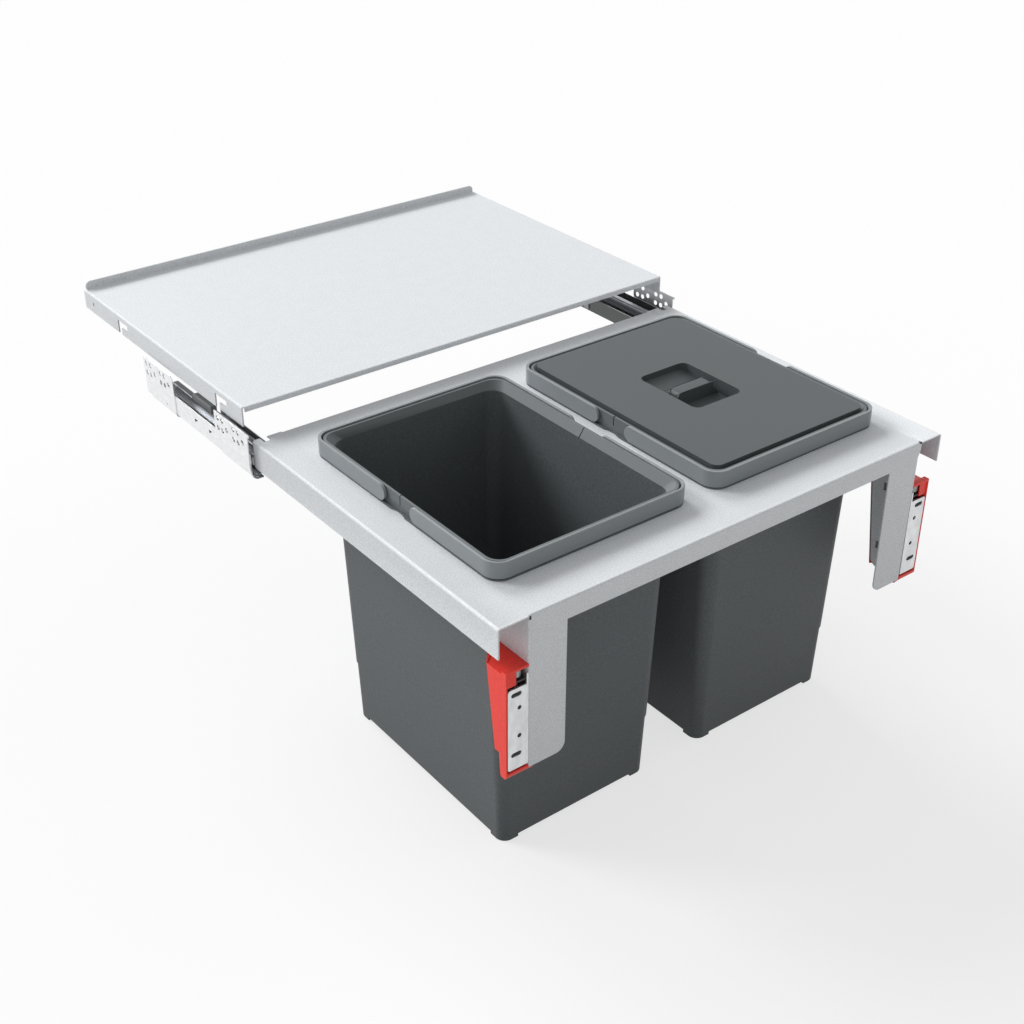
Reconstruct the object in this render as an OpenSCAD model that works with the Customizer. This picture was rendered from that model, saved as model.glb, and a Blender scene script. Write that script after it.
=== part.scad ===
// Pull-out bin frame for a kitchen cabinet, drawn pulled out, with two lift-out bins,
// ball-bearing runners, adjustable door brackets and the fixed shelf that covers the bins.
// Millimetres. X runs across the cabinet, Y from its front into its depth, Z up.
// The origin lies on the cabinet's front plane, on its centre line, level with the frame's top.

/* [Cabinet] */
// Clear width between the cabinet's side walls
cabinet_w = 562; // [556:1:570]
// Distance the frame travels from shut to fully out
travel = 381; // [360:1:381]
// From the cabinet's front to the first screw hole of a runner
screw_setback = 37; // [34:1:40]

/* [Frame] */
// Gap between the frame's side and the cabinet wall
frame_side_gap = 7; // [5:0.5:9]
// Depth of the frame, front to back
frame_d = 400; // [390:1:420]
// Thickness of the frame's sheet steel
sheet_t = 1.5; // [1:0.1:2]
// Height of the frame's side flanges
side_flange_h = 30.5; // [24:0.5:32]
// Height of the front and rear flanges
end_flange_h = 20; // [14:0.5:24]
// Inside radius of the frame's bends
bend_r = 1; // [0.6:0.1:1.4]
// Length of the frame's front edge that is left open at each corner
open_corner_w = 32; // [28:0.5:34]
// Width of the notch at each rear corner
notch_w = 8; // [6:0.5:9]
// Depth of the notch at each rear corner
notch_d = 9; // [6:0.5:9]
// From the frame's side flange to the notch
notch_inset = 6.5; // [4:0.5:8]
// Gap around a bin's body in its cut-out
cutout_gap = 3; // [2:0.1:3.4]

/* [Legs] */
// Width of a leg seen from the front
leg_w = 40.5; // [34:0.5:46]
// Height of a leg below the frame's top
leg_h = 159.5; // [156:0.5:162]
// Radius of a leg's lower inner corner
leg_corner_r = 10; // [6:0.5:14]
// Depth of a leg's side flange at the top
leg_flange_top_d = 57; // [54:0.5:60]
// Depth of a leg's side flange at the bottom
leg_flange_base_d = 37; // [34:0.5:40]
// Width of the ear beside the top of the right leg
ear_w = 3; // [2:0.25:4]
// Height of the ear
ear_h = 16; // [10:0.5:18]

/* [Runners] */
// Thickness of the runner sheets
rail_t = 1.2; // [1:0.1:1.4]
// Width of the rail under the frame
drawer_rail_w = 19; // [18:0.1:19.6]
// Height of the rail under the frame
drawer_rail_h = 18.5; // [17:0.1:19]
// From the rail's rear end to the frame's back
drawer_rail_inset = 10; // [10:1:40]
// Outside radius of that rail's upper corners
drawer_rail_r = 1.6; // [1.5:0.1:2]
// From the frame's front to the rail under it
drawer_rail_setback = 30; // [26:1:30]
// Width of the middle rail's skirt
middle_w = 15; // [14.4:0.1:15.6]
// Width of the middle rail's head
middle_head_w = 8; // [7.4:0.1:8.4]
// Height of the middle rail's head
middle_head_h = 8; // [7.6:0.1:8.6]
// Height of the middle rail
middle_h = 21; // [20:0.1:22]
// From the frame's top down to the middle rail
middle_drop = 13; // [12.6:0.1:13]
// Length of the middle rail
middle_l = 390; // [380:1:400]
// From the cabinet's front to the middle rail, when shut
middle_setback = 10; // [4:1:10]
// Length of the cabinet rail
cabinet_rail_l = 230; // [228:1:240]
// From the cabinet's front to the cabinet rail
cabinet_rail_setback = 17; // [15:1:18]
// From the frame's top down to the underside of the runner
runner_drop = 39; // [38.6:0.1:40]
// Width of the rib that the lower balls run on
rib_w = 5; // [4.4:0.1:5.4]
// Height of that rib above the cabinet rail's floor
rib_h = 9; // [8.4:0.1:9.4]
// From the middle rail's centre to the cabinet rail's inner upright
upright_offset = 16; // [14:0.5:17]
// Top of the cabinet rail's inner upright, below the frame's top
upright_drop = 20; // [18:0.5:28]
// Length of the cabinet rail's inner upright
upright_l = 117; // [100:1:130]
// Top of the cabinet rail's outer wall, below the frame's top
wall_drop = 13; // [11:0.5:16]
// From the cabinet's front to the first three-sided slot in that wall
wall_slot_setback = 103.5; // [100:0.5:105]
// Distance between the two three-sided slots
wall_slot_pitch = 31; // [28:0.5:34]
// Width of a three-sided slot
wall_slot_w = 7; // [5:0.5:9]
// Height of a three-sided slot
wall_slot_h = 4; // [3:0.5:5]
// Top of the three-sided slots below the frame's top
wall_slot_drop = 21.5; // [19:0.5:24]
// Thickness of the clip over the end of the inner upright
clip_t = 1.5; // [1:0.1:1.8]
// How far that clip reaches along the upright
clip_reach = 6; // [4:0.5:8]
// Length of the cage between the cabinet rail and the middle rail
lower_cage_l = 89; // [70:1:89]
// From the cabinet's front to the lower cage, when shut
lower_cage_setback = 154; // [140:1:155]
// Length of the cage between the middle rail and the frame's rail
upper_cage_l = 179; // [150:1:179]
// From the cabinet's front to the upper cage, when shut
upper_cage_setback = 114; // [112:1:114]
// Thickness of a cage's walls
cage_t = 1.6; // [1.2:0.1:2]
// Gap between a cage and the rails it runs in
cage_gap = 0.4; // [0.3:0.05:0.5]
// Thickness of the bridge that joins a cage's walls
bridge_t = 1.2; // [0.8:0.1:1.3]
// Distance between the balls of a row
ball_pitch = 14; // [11:0.5:18]
// Play of a ball between its two tracks, on each side
ball_play = 0.15; // [0.1:0.05:0.2]
// Length of the stop clip on the middle rail
stop_l = 47; // [40:1:50]
// From the middle rail's front end to its stop clip
stop_setback = 297; // [290:1:300]
// Height of the stop clip
stop_h = 9; // [7:0.1:9.4]
// Width of the stop clip
stop_w = 7; // [6:0.1:7]
// How far the stop clip sits towards the cabinet wall on the rail's head
stop_offset = 3; // [1:0.1:3.4]

/* [Runner brackets] */
// Distance between the front and the rear bracket's first holes
bracket_pitch = 160; // [158:1:162]
// Distance between a bracket's two groups of holes
group_pitch = 32; // [30:1:33]
// Diameter of the screw holes
screw_hole_d = 5.6; // [5:0.1:6]
// Height of the upper row of holes
upper_row_z = 2.8; // [2:0.1:3.4]
// Drop from the upper row to the lower row
row_drop = 10.8; // [10:0.1:11.6]
// Distance between neighbouring holes of a row
hole_step = 9.1; // [8.5:0.1:9.4]
// Drop from the upper row to the fifth hole of a group
odd_hole_drop = 6.7; // [6:0.1:7.4]
// Diameter of the pilot hole in the rear bracket
pilot_d = 3; // [2:0.1:4]
// Height of that pilot hole above the bracket's foot
pilot_h = 10; // [8:0.5:12]
// From the first holes' centres to a bracket's front edge
front_edge = 11; // [9:0.5:13]
// From the last holes' centres to a bracket's rear edge
rear_edge = 7; // [5:0.5:9]
// How far a bracket's foot stops short of its rear edge
foot_slant = 11; // [8:0.5:13]
// Height of the hook at the front bracket's top
hook_tip_h = 2.5; // [2:0.1:4]
// Chamfer at the rear bracket's top
bracket_chamfer = 5; // [3:0.5:7]
// Top of the brackets above the frame's top
bracket_top = 9; // [8.5:0.1:10]
// Outside radius of a bracket's bottom fold
bracket_fold_r = 6; // [4:0.5:7]
// Width of a bracket's folded foot
bracket_foot_w = 12; // [10:0.5:14]

/* [Bins] */
// Gap between the two bins' handle rings
bin_gap = 28; // [20:0.5:32]
// From a bin's handle ring to the frame's side flange
ring_side_gap = 33.9; // [32:0.1:36]
// From the bins' handle rings to the frame's back
ring_back_gap = 54.4; // [52:0.1:58]
// Corner radius of the handle ring
ring_r = 17; // [16:0.5:20]
// Corner radius of the rim inside the handle ring
rim_r = 16.5; // [14:0.5:18]
// From the frame's front to the handle ring
ring_setback = 51.6; // [50:0.1:53]
// How far the handle ring stands out beside a bin's body
ring_over_x = 10.3; // [9.8:0.1:11]
// How far the handle ring stands out before and behind a bin's body
ring_over_y = 9; // [8.6:0.1:10]
// How far a bin's body draws in on each side down to its base
bin_taper_x = 10.5; // [7:0.5:14]
// How far a bin's body draws in at its front and back down to its base
bin_taper_y = 9.5; // [7:0.5:13]
// Depth of a bin below the frame's top
bin_h = 317; // [280:1:340]
// Corner radius of a bin's body at the frame
bin_r = 18; // [16:0.5:20]
// Corner radius of a bin's body at its base
bin_base_r = 12; // [10:0.5:14]
// Wall thickness of a bin
bin_t = 2; // [1.5:0.1:2.5]
// Height of the shoulder where the wall steps in, above the base
shoulder_h = 71; // [40:1:100]
// Step of the wall at that shoulder
shoulder_step = 1; // [0.5:0.1:1.4]
// Height of the corner feet
foot_h = 3.5; // [2:0.1:5]
// Width of the corner feet
foot_w = 20; // [16:0.5:26]
// Height of the rim above the frame
rim_h = 17.5; // [16.5:0.1:17.8]
// Thickness of the rim's outer wall
rim_t = 2.5; // [2.3:0.1:2.8]
// Height at which the rim's inner slope ends
funnel_z = 9; // [8.6:0.1:9.4]
// Thickness of the flange that rests on the frame
rim_flange_t = 1.6; // [1.2:0.1:1.8]
// Depth of the flange's waist between the handles' tips
waist_depth = 2.8; // [2:0.1:3]
// Radius of that waist
waist_r = 28.8; // [26:0.1:32]
// Width of the slit at the middle of each long rim
slit_w = 1; // [0.6:0.1:1.6]
// Depth of that slit
slit_h = 10; // [6:0.5:10]

/* [Bin handles] */
// Thickness of a handle's strap
handle_t = 3; // [2.6:0.1:3.2]
// Height of a handle's strap
handle_h = 16.7; // [16.3:0.1:16.8]
// Height of a handle's underside above the frame
handle_z = 2.2; // [2:0.1:2.3]
// Gap between the tips of the two handles
handle_tip_gap = 40; // [30:0.5:50]
// Gap between a handle and the rim
handle_gap = 0.9; // [0.7:0.1:1.1]
// Diameter of a handle's pivot pin
pivot_d = 6; // [5:0.1:7]
// Depth to which the pivot pin enters the rim
pivot_l = 1.6; // [1.2:0.1:1.8]
// Room left at the end of a pivot pin
pivot_play = 0.2; // [0.1:0.05:0.3]
// Radial clearance of pins and screws in their holes
pin_clearance = 0.05; // [0.03:0.01:0.08]

/* [Lid] */
// Height of the lid's top above the frame
lid_top = 20; // [19:0.1:22]
// Gap between the lid's skirt and the rim's slope that carries it
seat_gap = 0.35; // [0.3:0.05:0.4]
// Wall thickness of the lid
lid_t = 2; // [1.5:0.1:2.4]
// Corner radius of the lid's panel
lid_r = 9; // [6:0.5:12]
// Corner radius of the lid's skirt
lid_skirt_r = 15; // [14:0.5:16]
// Height above the frame at which the panel begins and the skirt ends
lid_step_z = 15.5; // [15:0.1:17]
// Height of the lid's skirt above the frame
skirt_z = 11.5; // [10.5:0.1:12.5]
// Width of the grip pocket
pocket_w = 64; // [56:0.5:70]
// Depth of the grip pocket, front to back
pocket_d = 87.5; // [80:0.5:95]
// Height of the pocket's floor above the frame
pocket_floor = 5; // [4:0.1:8]
// Height of the pocket's floor at its back edge
pocket_back = 13; // [10:0.1:15]
// Corner radius of the pocket
pocket_r = 8; // [5:0.5:10]
// From the bin's centre to the pocket's front edge
pocket_front = 40.6; // [36:0.1:45]
// From the bin's centre line to the pocket's, towards the other bin
pocket_offset = 3.4; // [0:0.1:4]
// Thickness of the grip across the pocket
grip_t = 15; // [12:0.5:18]
// From the pocket's front edge to the grip
grip_setback = 35; // [30:0.5:38]
// Length of the grip along its top
grip_top_w = 49; // [40:0.5:52]
// Radius of the grip's upper corners
grip_r = 6; // [4:0.5:8]

/* [Door brackets] */
// Thickness of the door plate
plate_t = 2; // [1.6:0.1:2.2]
// Width of the door plate beside the leg
plate_w = 22; // [20:0.5:22.6]
// Height of the door plate
plate_h = 86.2; // [85:0.1:88]
// Top of the door plate below the frame's top
plate_drop = 67.8; // [67:0.1:69]
// Height of the arm that runs back along the leg
arm_h = 97; // [94:0.5:97]
// Length of that arm, front to back
arm_l = 27; // [24:0.5:28]
// Radius of the door plate's outer corners
plate_r = 2.5; // [1.5:0.1:3.5]
// From the plate's top to the upper slot
door_slot_inset = 6.3; // [5:0.1:8]
// From the plate's top to the upper small hole
door_hole_inset = 21.2; // [18:0.1:24]
// Distance between the two slots
door_slot_pitch = 64; // [62:0.5:66]
// Length of a slot
door_slot_l = 11; // [9:0.5:13]
// Width of a slot
door_slot_w = 4.5; // [4:0.1:5]
// From the leg's side to the slots' centre
door_slot_x = 13; // [12:0.1:14]
// Distance between the two small holes
door_hole_pitch = 30; // [28:0.5:32]
// Diameter of the small holes
door_hole_d = 4.3; // [3.4:0.1:4.8]
// From the leg's side to the small holes' centre
door_hole_x = 9.7; // [9:0.1:11]
// Distance the door plate moves up and down from its middle
adjust_range = 2; // [1.5:0.1:2]
// Running gap of the door plate along the leg and under the wheel
slide_gap = 0.3; // [0.2:0.05:0.4]
// Gap between the door plate's arm and the leg's flange
plate_gap = 0.2; // [0.1:0.05:0.3]
// Room left beyond the door plate's travel at each end
adjust_spare = 0.5; // [0.4:0.1:0.6]
// Chamfer at the arm's lower corner
arm_chamfer = 6; // [4:0.5:8]
// Thickness of the lug that the adjusting screw turns in
lug_t = 2; // [1.6:0.1:2.4]
// Steel round the adjusting screw's hole in the lug
lug_rim = 3; // [2.2:0.1:3.2]
// Diameter of the guide pins
guide_pin_d = 4.6; // [4:0.1:4.8]
// Distance between the guide pins
guide_pitch = 60; // [50:0.5:62]
// Height of the upper guide pin below the frame's top
guide_drop = 80; // [76:0.5:82]
// From the leg's front to the guide pins
guide_setback = 16; // [14:0.5:18]
// Diameter of the guide pins' heads
guide_head_d = 8; // [7:0.5:9]
// Thickness of the guide pins' heads
guide_head_t = 1.2; // [0.8:0.1:1.5]

/* [Adjusters] */
// Width of an adjuster cover beside the leg
cover_w = 24; // [23:0.5:25]
// Top of a cover below the frame's top
cover_drop = 48.3; // [47:0.1:48.5]
// Height of a cover
cover_h = 113.7; // [112:0.1:116]
// Wall thickness of a cover
cover_t = 1.5; // [1.2:0.1:1.7]
// Thickness of a cover's top
cover_top_t = 2.4; // [2.2:0.1:2.6]
// Depth of a cover's outer face at the top
cover_side_d = 27; // [25:0.5:29]
// Taper of the outer face's rear edge down to its step
cover_taper = 11; // [9:0.5:13]
// Height of the step in the outer face, from the cover's foot
cover_step_h = 25; // [22:0.5:28]
// Depth of the outer face below the step
cover_tongue_d = 8.5; // [7.5:0.5:10]
// Overhang of the cover behind the leg's flange
cover_wrap = 1.6; // [1.2:0.1:2]
// Width of the latch slots in the leg's flange
latch_w = 5; // [4:0.1:6]
// Height of the latch slots
latch_h = 9; // [7:0.5:11]
// From the leg's front to the latch slots
latch_setback = 32; // [31.6:0.1:33]
// Height of the upper latch slot below the frame's top
latch_drop = 63.5; // [61:0.5:66]
// Distance between the latch slots
latch_pitch = 69.5; // [66:0.5:70]
// Play of a latch in its slot
latch_play = 0.5; // [0.3:0.1:0.7]
// Thickness of a latch's stem
latch_t = 1.9; // [1.5:0.1:2]
// Depth of the recess in a cover's top
cover_recess = 0.8; // [0.4:0.1:0.9]
// Height of the round lip at a cover's foot
cover_lip_h = 3.5; // [3:0.1:4]
// Width of the ledge round that recess
cover_ledge_w = 6; // [4:0.5:8]
// How far the recess runs back beside the ledge
ledge_run = 13; // [8:0.5:15]
// Diameter of the adjusting wheel
wheel_d = 10; // [9:0.2:10.6]
// Height of the adjusting wheel
wheel_h = 8.6; // [8:0.1:9]
// Number of grooves round the wheel
wheel_grooves = 18; // [12:1:24]
// Diameter of the grooves
groove_d = 1; // [0.6:0.1:1.2]
// From the leg's side to the wheel's axis
wheel_x = 9; // [8.6:0.1:10]
// From the leg's front to the wheel's axis
wheel_y = 7.5; // [7:0.1:9]
// Diameter of the adjusting screw
adjust_screw_d = 5; // [4:0.1:5.4]
// Length of the adjusting screw below the wheel
adjust_screw_l = 16; // [12:0.5:20]
// Diameter of the wheel's top spigot
spigot_d = 4; // [3:0.1:4.4]
// Height of the wheel's top spigot
spigot_h = 1; // [0.6:0.1:1]
// Room left above the spigot
spigot_play = 0.1; // [0.1:0.05:0.2]

/* [Shelf] */
// Gap between the shelf's side and the cabinet wall
shelf_side_gap = 6; // [5:0.25:6.5]
// From the cabinet's front to the shelf
shelf_setback = 32; // [28:1:36]
// Depth of the shelf
shelf_d = 372; // [365:1:380]
// Top of the shelf above the frame's top
shelf_top = 30.5; // [29:0.1:34]
// Height of the shelf's side flanges
shelf_flange_h = 21.5; // [18:0.5:22]
// Height of the shelf's front hem
shelf_hem_h = 5; // [4:0.5:7]
// Height of the lip along the shelf's back
shelf_lip_h = 9; // [7:0.5:12]
// Radius of that lip's upper corners
lip_corner_r = 6; // [4:0.5:7]
// From the shelf's back to the small hole in each side flange
side_hole_inset = 23; // [15:0.5:30]
// Small holes' height below the shelf's top
side_hole_drop = 10.5; // [8:0.5:13]
// Diameter of those small holes
side_hole_d = 4; // [3:0.1:5]
// From the cabinet's front to the first hook slot
hook_setback = 82; // [78:1:86]
// Distance between the hook slots
hook_pitch = 226; // [220:1:230]
// Width of a hook slot's mouth
hook_mouth_w = 8.5; // [7:0.1:10]
// Length of a hook slot's arm
hook_arm_l = 15.5; // [12:0.5:18]
// Height of a hook slot's arm
hook_arm_h = 7.5; // [6:0.1:8.5]
// Steel left above a hook slot
hook_land = 6.3; // [5:0.1:7]

/* [Hidden] */
$fn = 48;
// Small overshoot of cuts, and thickness of the slabs that a hull joins
eps = 0.01;
over = 1;
hull_fn = 32;

// Frame
frame_half = cabinet_w / 2 - frame_side_gap;
bend_out = bend_r + sheet_t;
leg_x = frame_half - open_corner_w;
frame_inner = frame_half - sheet_t;

// Bins
ring_w = frame_inner - ring_side_gap - bin_gap / 2;
ring_d = frame_d - ring_setback - ring_back_gap;
bin_w = ring_w - 2 * ring_over_x;
bin_d = ring_d - 2 * ring_over_y;
bin_base_w = bin_w - 2 * bin_taper_x;
bin_base_d = bin_d - 2 * bin_taper_y;
bin_x = (bin_gap + ring_w) / 2;
bin_y = ring_setback + ring_d / 2;
rim_inset = handle_t + handle_gap;
flange_inset = handle_gap / 2;
rim_w = ring_w - 2 * rim_inset;
rim_d = ring_d - 2 * rim_inset;
body_in_w = bin_w - 2 * bin_t;
body_in_d = bin_d - 2 * bin_t;
mouth_w = rim_w - 2 * rim_t;
mouth_d = rim_d - 2 * rim_t;
mouth_r = rim_r - rim_t;
cutout_w = bin_w + 2 * cutout_gap;
cutout_d = bin_d + 2 * cutout_gap;
cutout_r = bin_r + cutout_gap;
pivot_z = handle_z + handle_h / 2;
pivot_y = handle_tip_gap / 2 + handle_h / 2;
pivot_hole_l = pivot_l + pivot_play;

// Lid
function funnel_part(z) = (z - funnel_z) / (rim_h - funnel_z);
function funnel_w(z) = body_in_w + (mouth_w - body_in_w) * funnel_part(z);
function funnel_d(z) = body_in_d + (mouth_d - body_in_d) * funnel_part(z);
skirt_w = funnel_w(skirt_z) - 2 * seat_gap;
skirt_d = funnel_d(skirt_z) - 2 * seat_gap;
grip_back = grip_setback + grip_t;

// Runners, across: the drawer rail lies against the frame's side flange
rail_x = frame_inner - drawer_rail_w / 2;
drawer_rail_l = frame_d - drawer_rail_setback - drawer_rail_inset;
wall_x = cabinet_w / 2 - rail_t;
drawer_in = drawer_rail_w / 2 - rail_t;
head_half = middle_head_w / 2;
skirt_in = middle_w / 2 - rail_t;
upper_ball_d = drawer_in - head_half - 2 * ball_play;
lower_ball_d = skirt_in - rib_w / 2 - 2 * ball_play;
upper_row_x = (drawer_in + head_half) / 2;
lower_row_x = (skirt_in + rib_w / 2) / 2;

// Runners, up and down
ledge_z = -middle_drop - middle_head_h;
floor_z = rail_t * 2 - runner_drop;
rib_top = floor_z + rib_h;
upper_ball_z = -middle_drop - middle_head_h / 2;
lower_ball_z = (rib_top - middle_drop - middle_h) / 2;

// Runners, along the travel, at rest with the frame pulled out
middle_y = middle_setback - travel / 2;
lower_cage_y = lower_cage_setback - travel / 4;
upper_cage_y = upper_cage_setback - travel * 3 / 4;

// Door brackets
plate_base = -plate_drop - plate_h;
arm_in = leg_x + plate_gap;
wheel_top = -cover_drop - cover_top_t - slide_gap;
wheel_base = wheel_top - wheel_h;
lug_top = wheel_base - slide_gap - adjust_range - adjust_spare;
lug_half = adjust_screw_d / 2 + lug_rim;
cover_base = -cover_drop - cover_h;
step_z = cover_base + cover_step_h;
leg_slope = (leg_flange_top_d - leg_flange_base_d) / leg_h;
function flange_depth(z) = leg_flange_top_d + leg_slope * z;

// Shelf
shelf_half = cabinet_w / 2 - shelf_side_gap;
shelf_back = shelf_setback + shelf_d;

steel = [0.86, 0.87, 0.88];
zinc = [0.78, 0.80, 0.82];
runner_steel = [0.42, 0.44, 0.46];
bin_grey = [0.33, 0.35, 0.36];
handle_grey = [0.43, 0.46, 0.47];
cover_red = [0.85, 0.22, 0.18];
clip_white = [0.9, 0.9, 0.9];
clip_dark = [0.3, 0.32, 0.33];
ball_steel = [0.7, 0.71, 0.73];

// Shapes drawn in the X-Z plane and pushed along Y
module along_y(y, length) {
    translate([0, y + length, 0])
        rotate([90, 0, 0])
            linear_extrude(length)
                children();
}

// Shapes drawn in the Y-Z plane and pushed along X
module along_x(x, length) {
    translate([x, 0, 0])
        rotate([90, 0, 90])
            linear_extrude(length)
                children();
}

// Shapes drawn in the X-Y plane and pushed along Z
module along_z(z, height) {
    translate([0, 0, z])
        linear_extrude(height)
            children();
}

// What is drawn on the right is mirrored for the left, at side -1
module on_side(side) {
    mirror([side < 0 ? 1 : 0, 0, 0])
        children();
}

// The frame and what rides on it, at rest pulled out of the cabinet
module pulled_out() {
    translate([0, -travel, 0])
        children();
}

// A rectangle from one corner to the other
module box2(from, to) {
    translate(from)
        square(to - from);
}

module rounded(w, d, r) {
    square([w - 2 * r, d], center = true);
    square([w, d - 2 * r], center = true);
    for (sx = [-1, 1], sy = [-1, 1])
        translate([sx * (w / 2 - r), sy * (d / 2 - r)])
            circle(r);
}

// A slot with round ends, lying along its first axis
module slot2(length, width) {
    square([length - width, width], center = true);
    for (s = [-1, 1])
        translate([s * (length - width) / 2, 0])
            circle(d = width);
}

// A quarter of a bend in sheet: 0 is the upper right quarter, and they count to the left
module bend2(centre, inner_r, t, quarter) {
    translate(centre)
        rotate(90 * quarter)
            intersection() {
                difference() {
                    circle(inner_r + t);
                    circle(inner_r);
                }
                square(inner_r + t);
            }
}

// A tapering block with round corners, from [w, d, r] at z0 to [w, d, r] at z1
module taper(base, z0, top, z1) {
    hull() {
        translate([0, 0, z0])
            linear_extrude(eps)
                rounded(base[0], base[1], base[2], $fn = hull_fn);
        translate([0, 0, z1 - eps])
            linear_extrude(eps)
                rounded(top[0], top[1], top[2], $fn = hull_fn);
    }
}

// Bin frame

// Half of the bent section that ends a plate: flat sheet, bend and flange
module flange_section(half, height, t, inner_r) {
    outer_r = inner_r + t;
    box2([half - outer_r - over, -t], [half - outer_r, 0]);
    bend2([half - outer_r, -outer_r], inner_r, t, 0);
    box2([half - t, -height], [half, -outer_r]);
}

// What rounding takes off a square corner that points to the lower left
module corner_cut(r) {
    difference() {
        translate([-over, -over])
            square(r + over);
        translate([r, r])
            circle(r);
    }
}

module leg_flange_outline() {
    difference() {
        polygon([
            [0, -bend_out],
            [flange_depth(-bend_out), -bend_out],
            [leg_flange_base_d, -leg_h],
            [0, -leg_h]
        ]);
        translate([flange_depth(leg_corner_r - leg_h), -leg_h])
            mirror([1, 0])
                corner_cut(leg_corner_r);
    }
}

// The leg's front sheet, with a round lower corner, and on one leg an ear beside its top
module leg_front_outline(ear) {
    difference() {
        union() {
            box2([leg_x - leg_w, -leg_h], [leg_x, -bend_out]);
            if (ear)
                polygon([
                    [leg_x - over, -bend_out],
                    [leg_x + ear_w, -bend_out],
                    [leg_x + ear_w, -ear_h / 2],
                    [leg_x, -ear_h],
                    [leg_x - over, -ear_h]
                ]);
        }
        translate([leg_x - leg_w, -leg_h])
            corner_cut(leg_corner_r);
    }
}

// A leg's flange has two slots for the door plate's guide pins and two for the cover's latches
module leg_slots() {
    for (i = [0, 1]) {
        translate([guide_setback, -guide_drop - i * guide_pitch])
            rotate(90)
                slot2(guide_pin_d + 2 * (adjust_range + adjust_spare), guide_pin_d + 2 * slide_gap);
        translate([latch_setback, -latch_drop - i * latch_pitch])
            square([latch_w, latch_h], center = true);
    }
}

module leg(ear) {
    along_y(0, sheet_t)
        leg_front_outline(ear);
    difference() {
        along_x(leg_x - sheet_t, sheet_t)
            leg_flange_outline();
        along_x(leg_x - sheet_t - over, sheet_t + 2 * over)
            leg_slots();
    }
}

module frame_plate() {
    half = frame_half - bend_out;
    difference() {
        box2([-half, 0], [half, frame_d]);
        box2([-leg_x, -over], [leg_x + ear_w, bend_out]);
        box2([-leg_x, frame_d - bend_out], [leg_x, frame_d + over]);
        for (side = [-1, 1]) {
            translate([side * bin_x, bin_y])
                rounded(cutout_w, cutout_d, cutout_r);
            translate([side * (frame_inner - notch_inset - notch_w / 2), frame_d])
                square([notch_w, 2 * notch_d], center = true);
        }
    }
}

module bin_frame() {
    color(steel)
        pulled_out() {
            along_z(-sheet_t, sheet_t)
                frame_plate();
            for (side = [-1, 1])
                on_side(side) {
                    along_y(0, frame_d)
                        flange_section(frame_half, side_flange_h, sheet_t, bend_r);
                    leg(side > 0);
                }
            // Front flange between and over the legs
            along_x(-leg_x, 2 * leg_x + ear_w)
                bend2([bend_out, -bend_out], bend_r, sheet_t, 1);
            along_x(-leg_x, 2 * leg_x)
                box2([0, -end_flange_h], [sheet_t, -bend_out]);
            // Rear flange
            along_x(-leg_x, 2 * leg_x) {
                bend2([frame_d - bend_out, -bend_out], bend_r, sheet_t, 0);
                box2([frame_d - sheet_t, -end_flange_h], [frame_d, -bend_out]);
            }
        }
}

// Runners

// The cabinet rail's section, centred on the middle rail: outer wall, floor, rib and upright
module cabinet_rail_section() {
    out = wall_x - rail_x;
    fold_r = bracket_fold_r - rail_t;
    under = floor_z - rail_t;
    box2([out - rail_t, under + fold_r], [out, -wall_drop]);
    bend2([out - fold_r, under + fold_r], fold_r - rail_t, rail_t, 3);
    difference() {
        union() {
            box2([-upright_offset, under], [out - fold_r, floor_z]);
            box2([-rib_w / 2, under], [rib_w / 2, rib_top]);
        }
        box2([rail_t - rib_w / 2, under - over], [rib_w / 2 - rail_t, rib_top - rail_t]);
    }
}

module cabinet_rail(side) {
    color(zinc)
        on_side(side)
            difference() {
                union() {
                    along_y(cabinet_rail_setback, cabinet_rail_l)
                        translate([rail_x, 0])
                            cabinet_rail_section();
                    along_y(cabinet_rail_setback, upright_l)
                        translate([rail_x, 0])
                            box2([-upright_offset, floor_z - rail_t],
                                 [rail_t - upright_offset, -upright_drop]);
                }
                // Small three-sided slots in the outer wall, between the brackets
                for (i = [0, 1])
                    along_x(wall_x - rail_t - over, rail_t + 2 * over)
                        translate([wall_slot_setback + i * wall_slot_pitch, -wall_slot_drop])
                            polygon([[-wall_slot_w, 0], [0, 0], [0, -wall_slot_h]]);
            }
}

module middle_rail_section() {
    difference() {
        union() {
            intersection() {
                translate([0, ledge_z])
                    rounded(middle_head_w, 2 * middle_head_h, 2);
                box2([-head_half, ledge_z - over], [head_half, 0]);
            }
            box2([-middle_w / 2, ledge_z - rail_t], [middle_w / 2, ledge_z]);
            for (side = [-1, 1])
                translate([side * (middle_w / 2 - rail_t / 2), 0])
                    box2([-rail_t / 2, -middle_drop - middle_h], [rail_t / 2, ledge_z]);
        }
        box2([rail_t - head_half, ledge_z - 2 * rail_t], [head_half - rail_t, -middle_drop - rail_t]);
    }
}

module middle_rail(side) {
    color(runner_steel)
        on_side(side)
            along_y(middle_y, middle_l)
                translate([rail_x, 0])
                    middle_rail_section();
}

// The stop on the middle rail's head, with a sloping rear end
module stop_clip(side) {
    color(clip_dark)
        on_side(side)
            along_x(rail_x - head_half + stop_offset, stop_w)
                translate([middle_y + stop_setback, -middle_drop])
                    polygon([[0, 0], [stop_l, 0], [stop_l - stop_h, stop_h], [0, stop_h]]);
}

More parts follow.
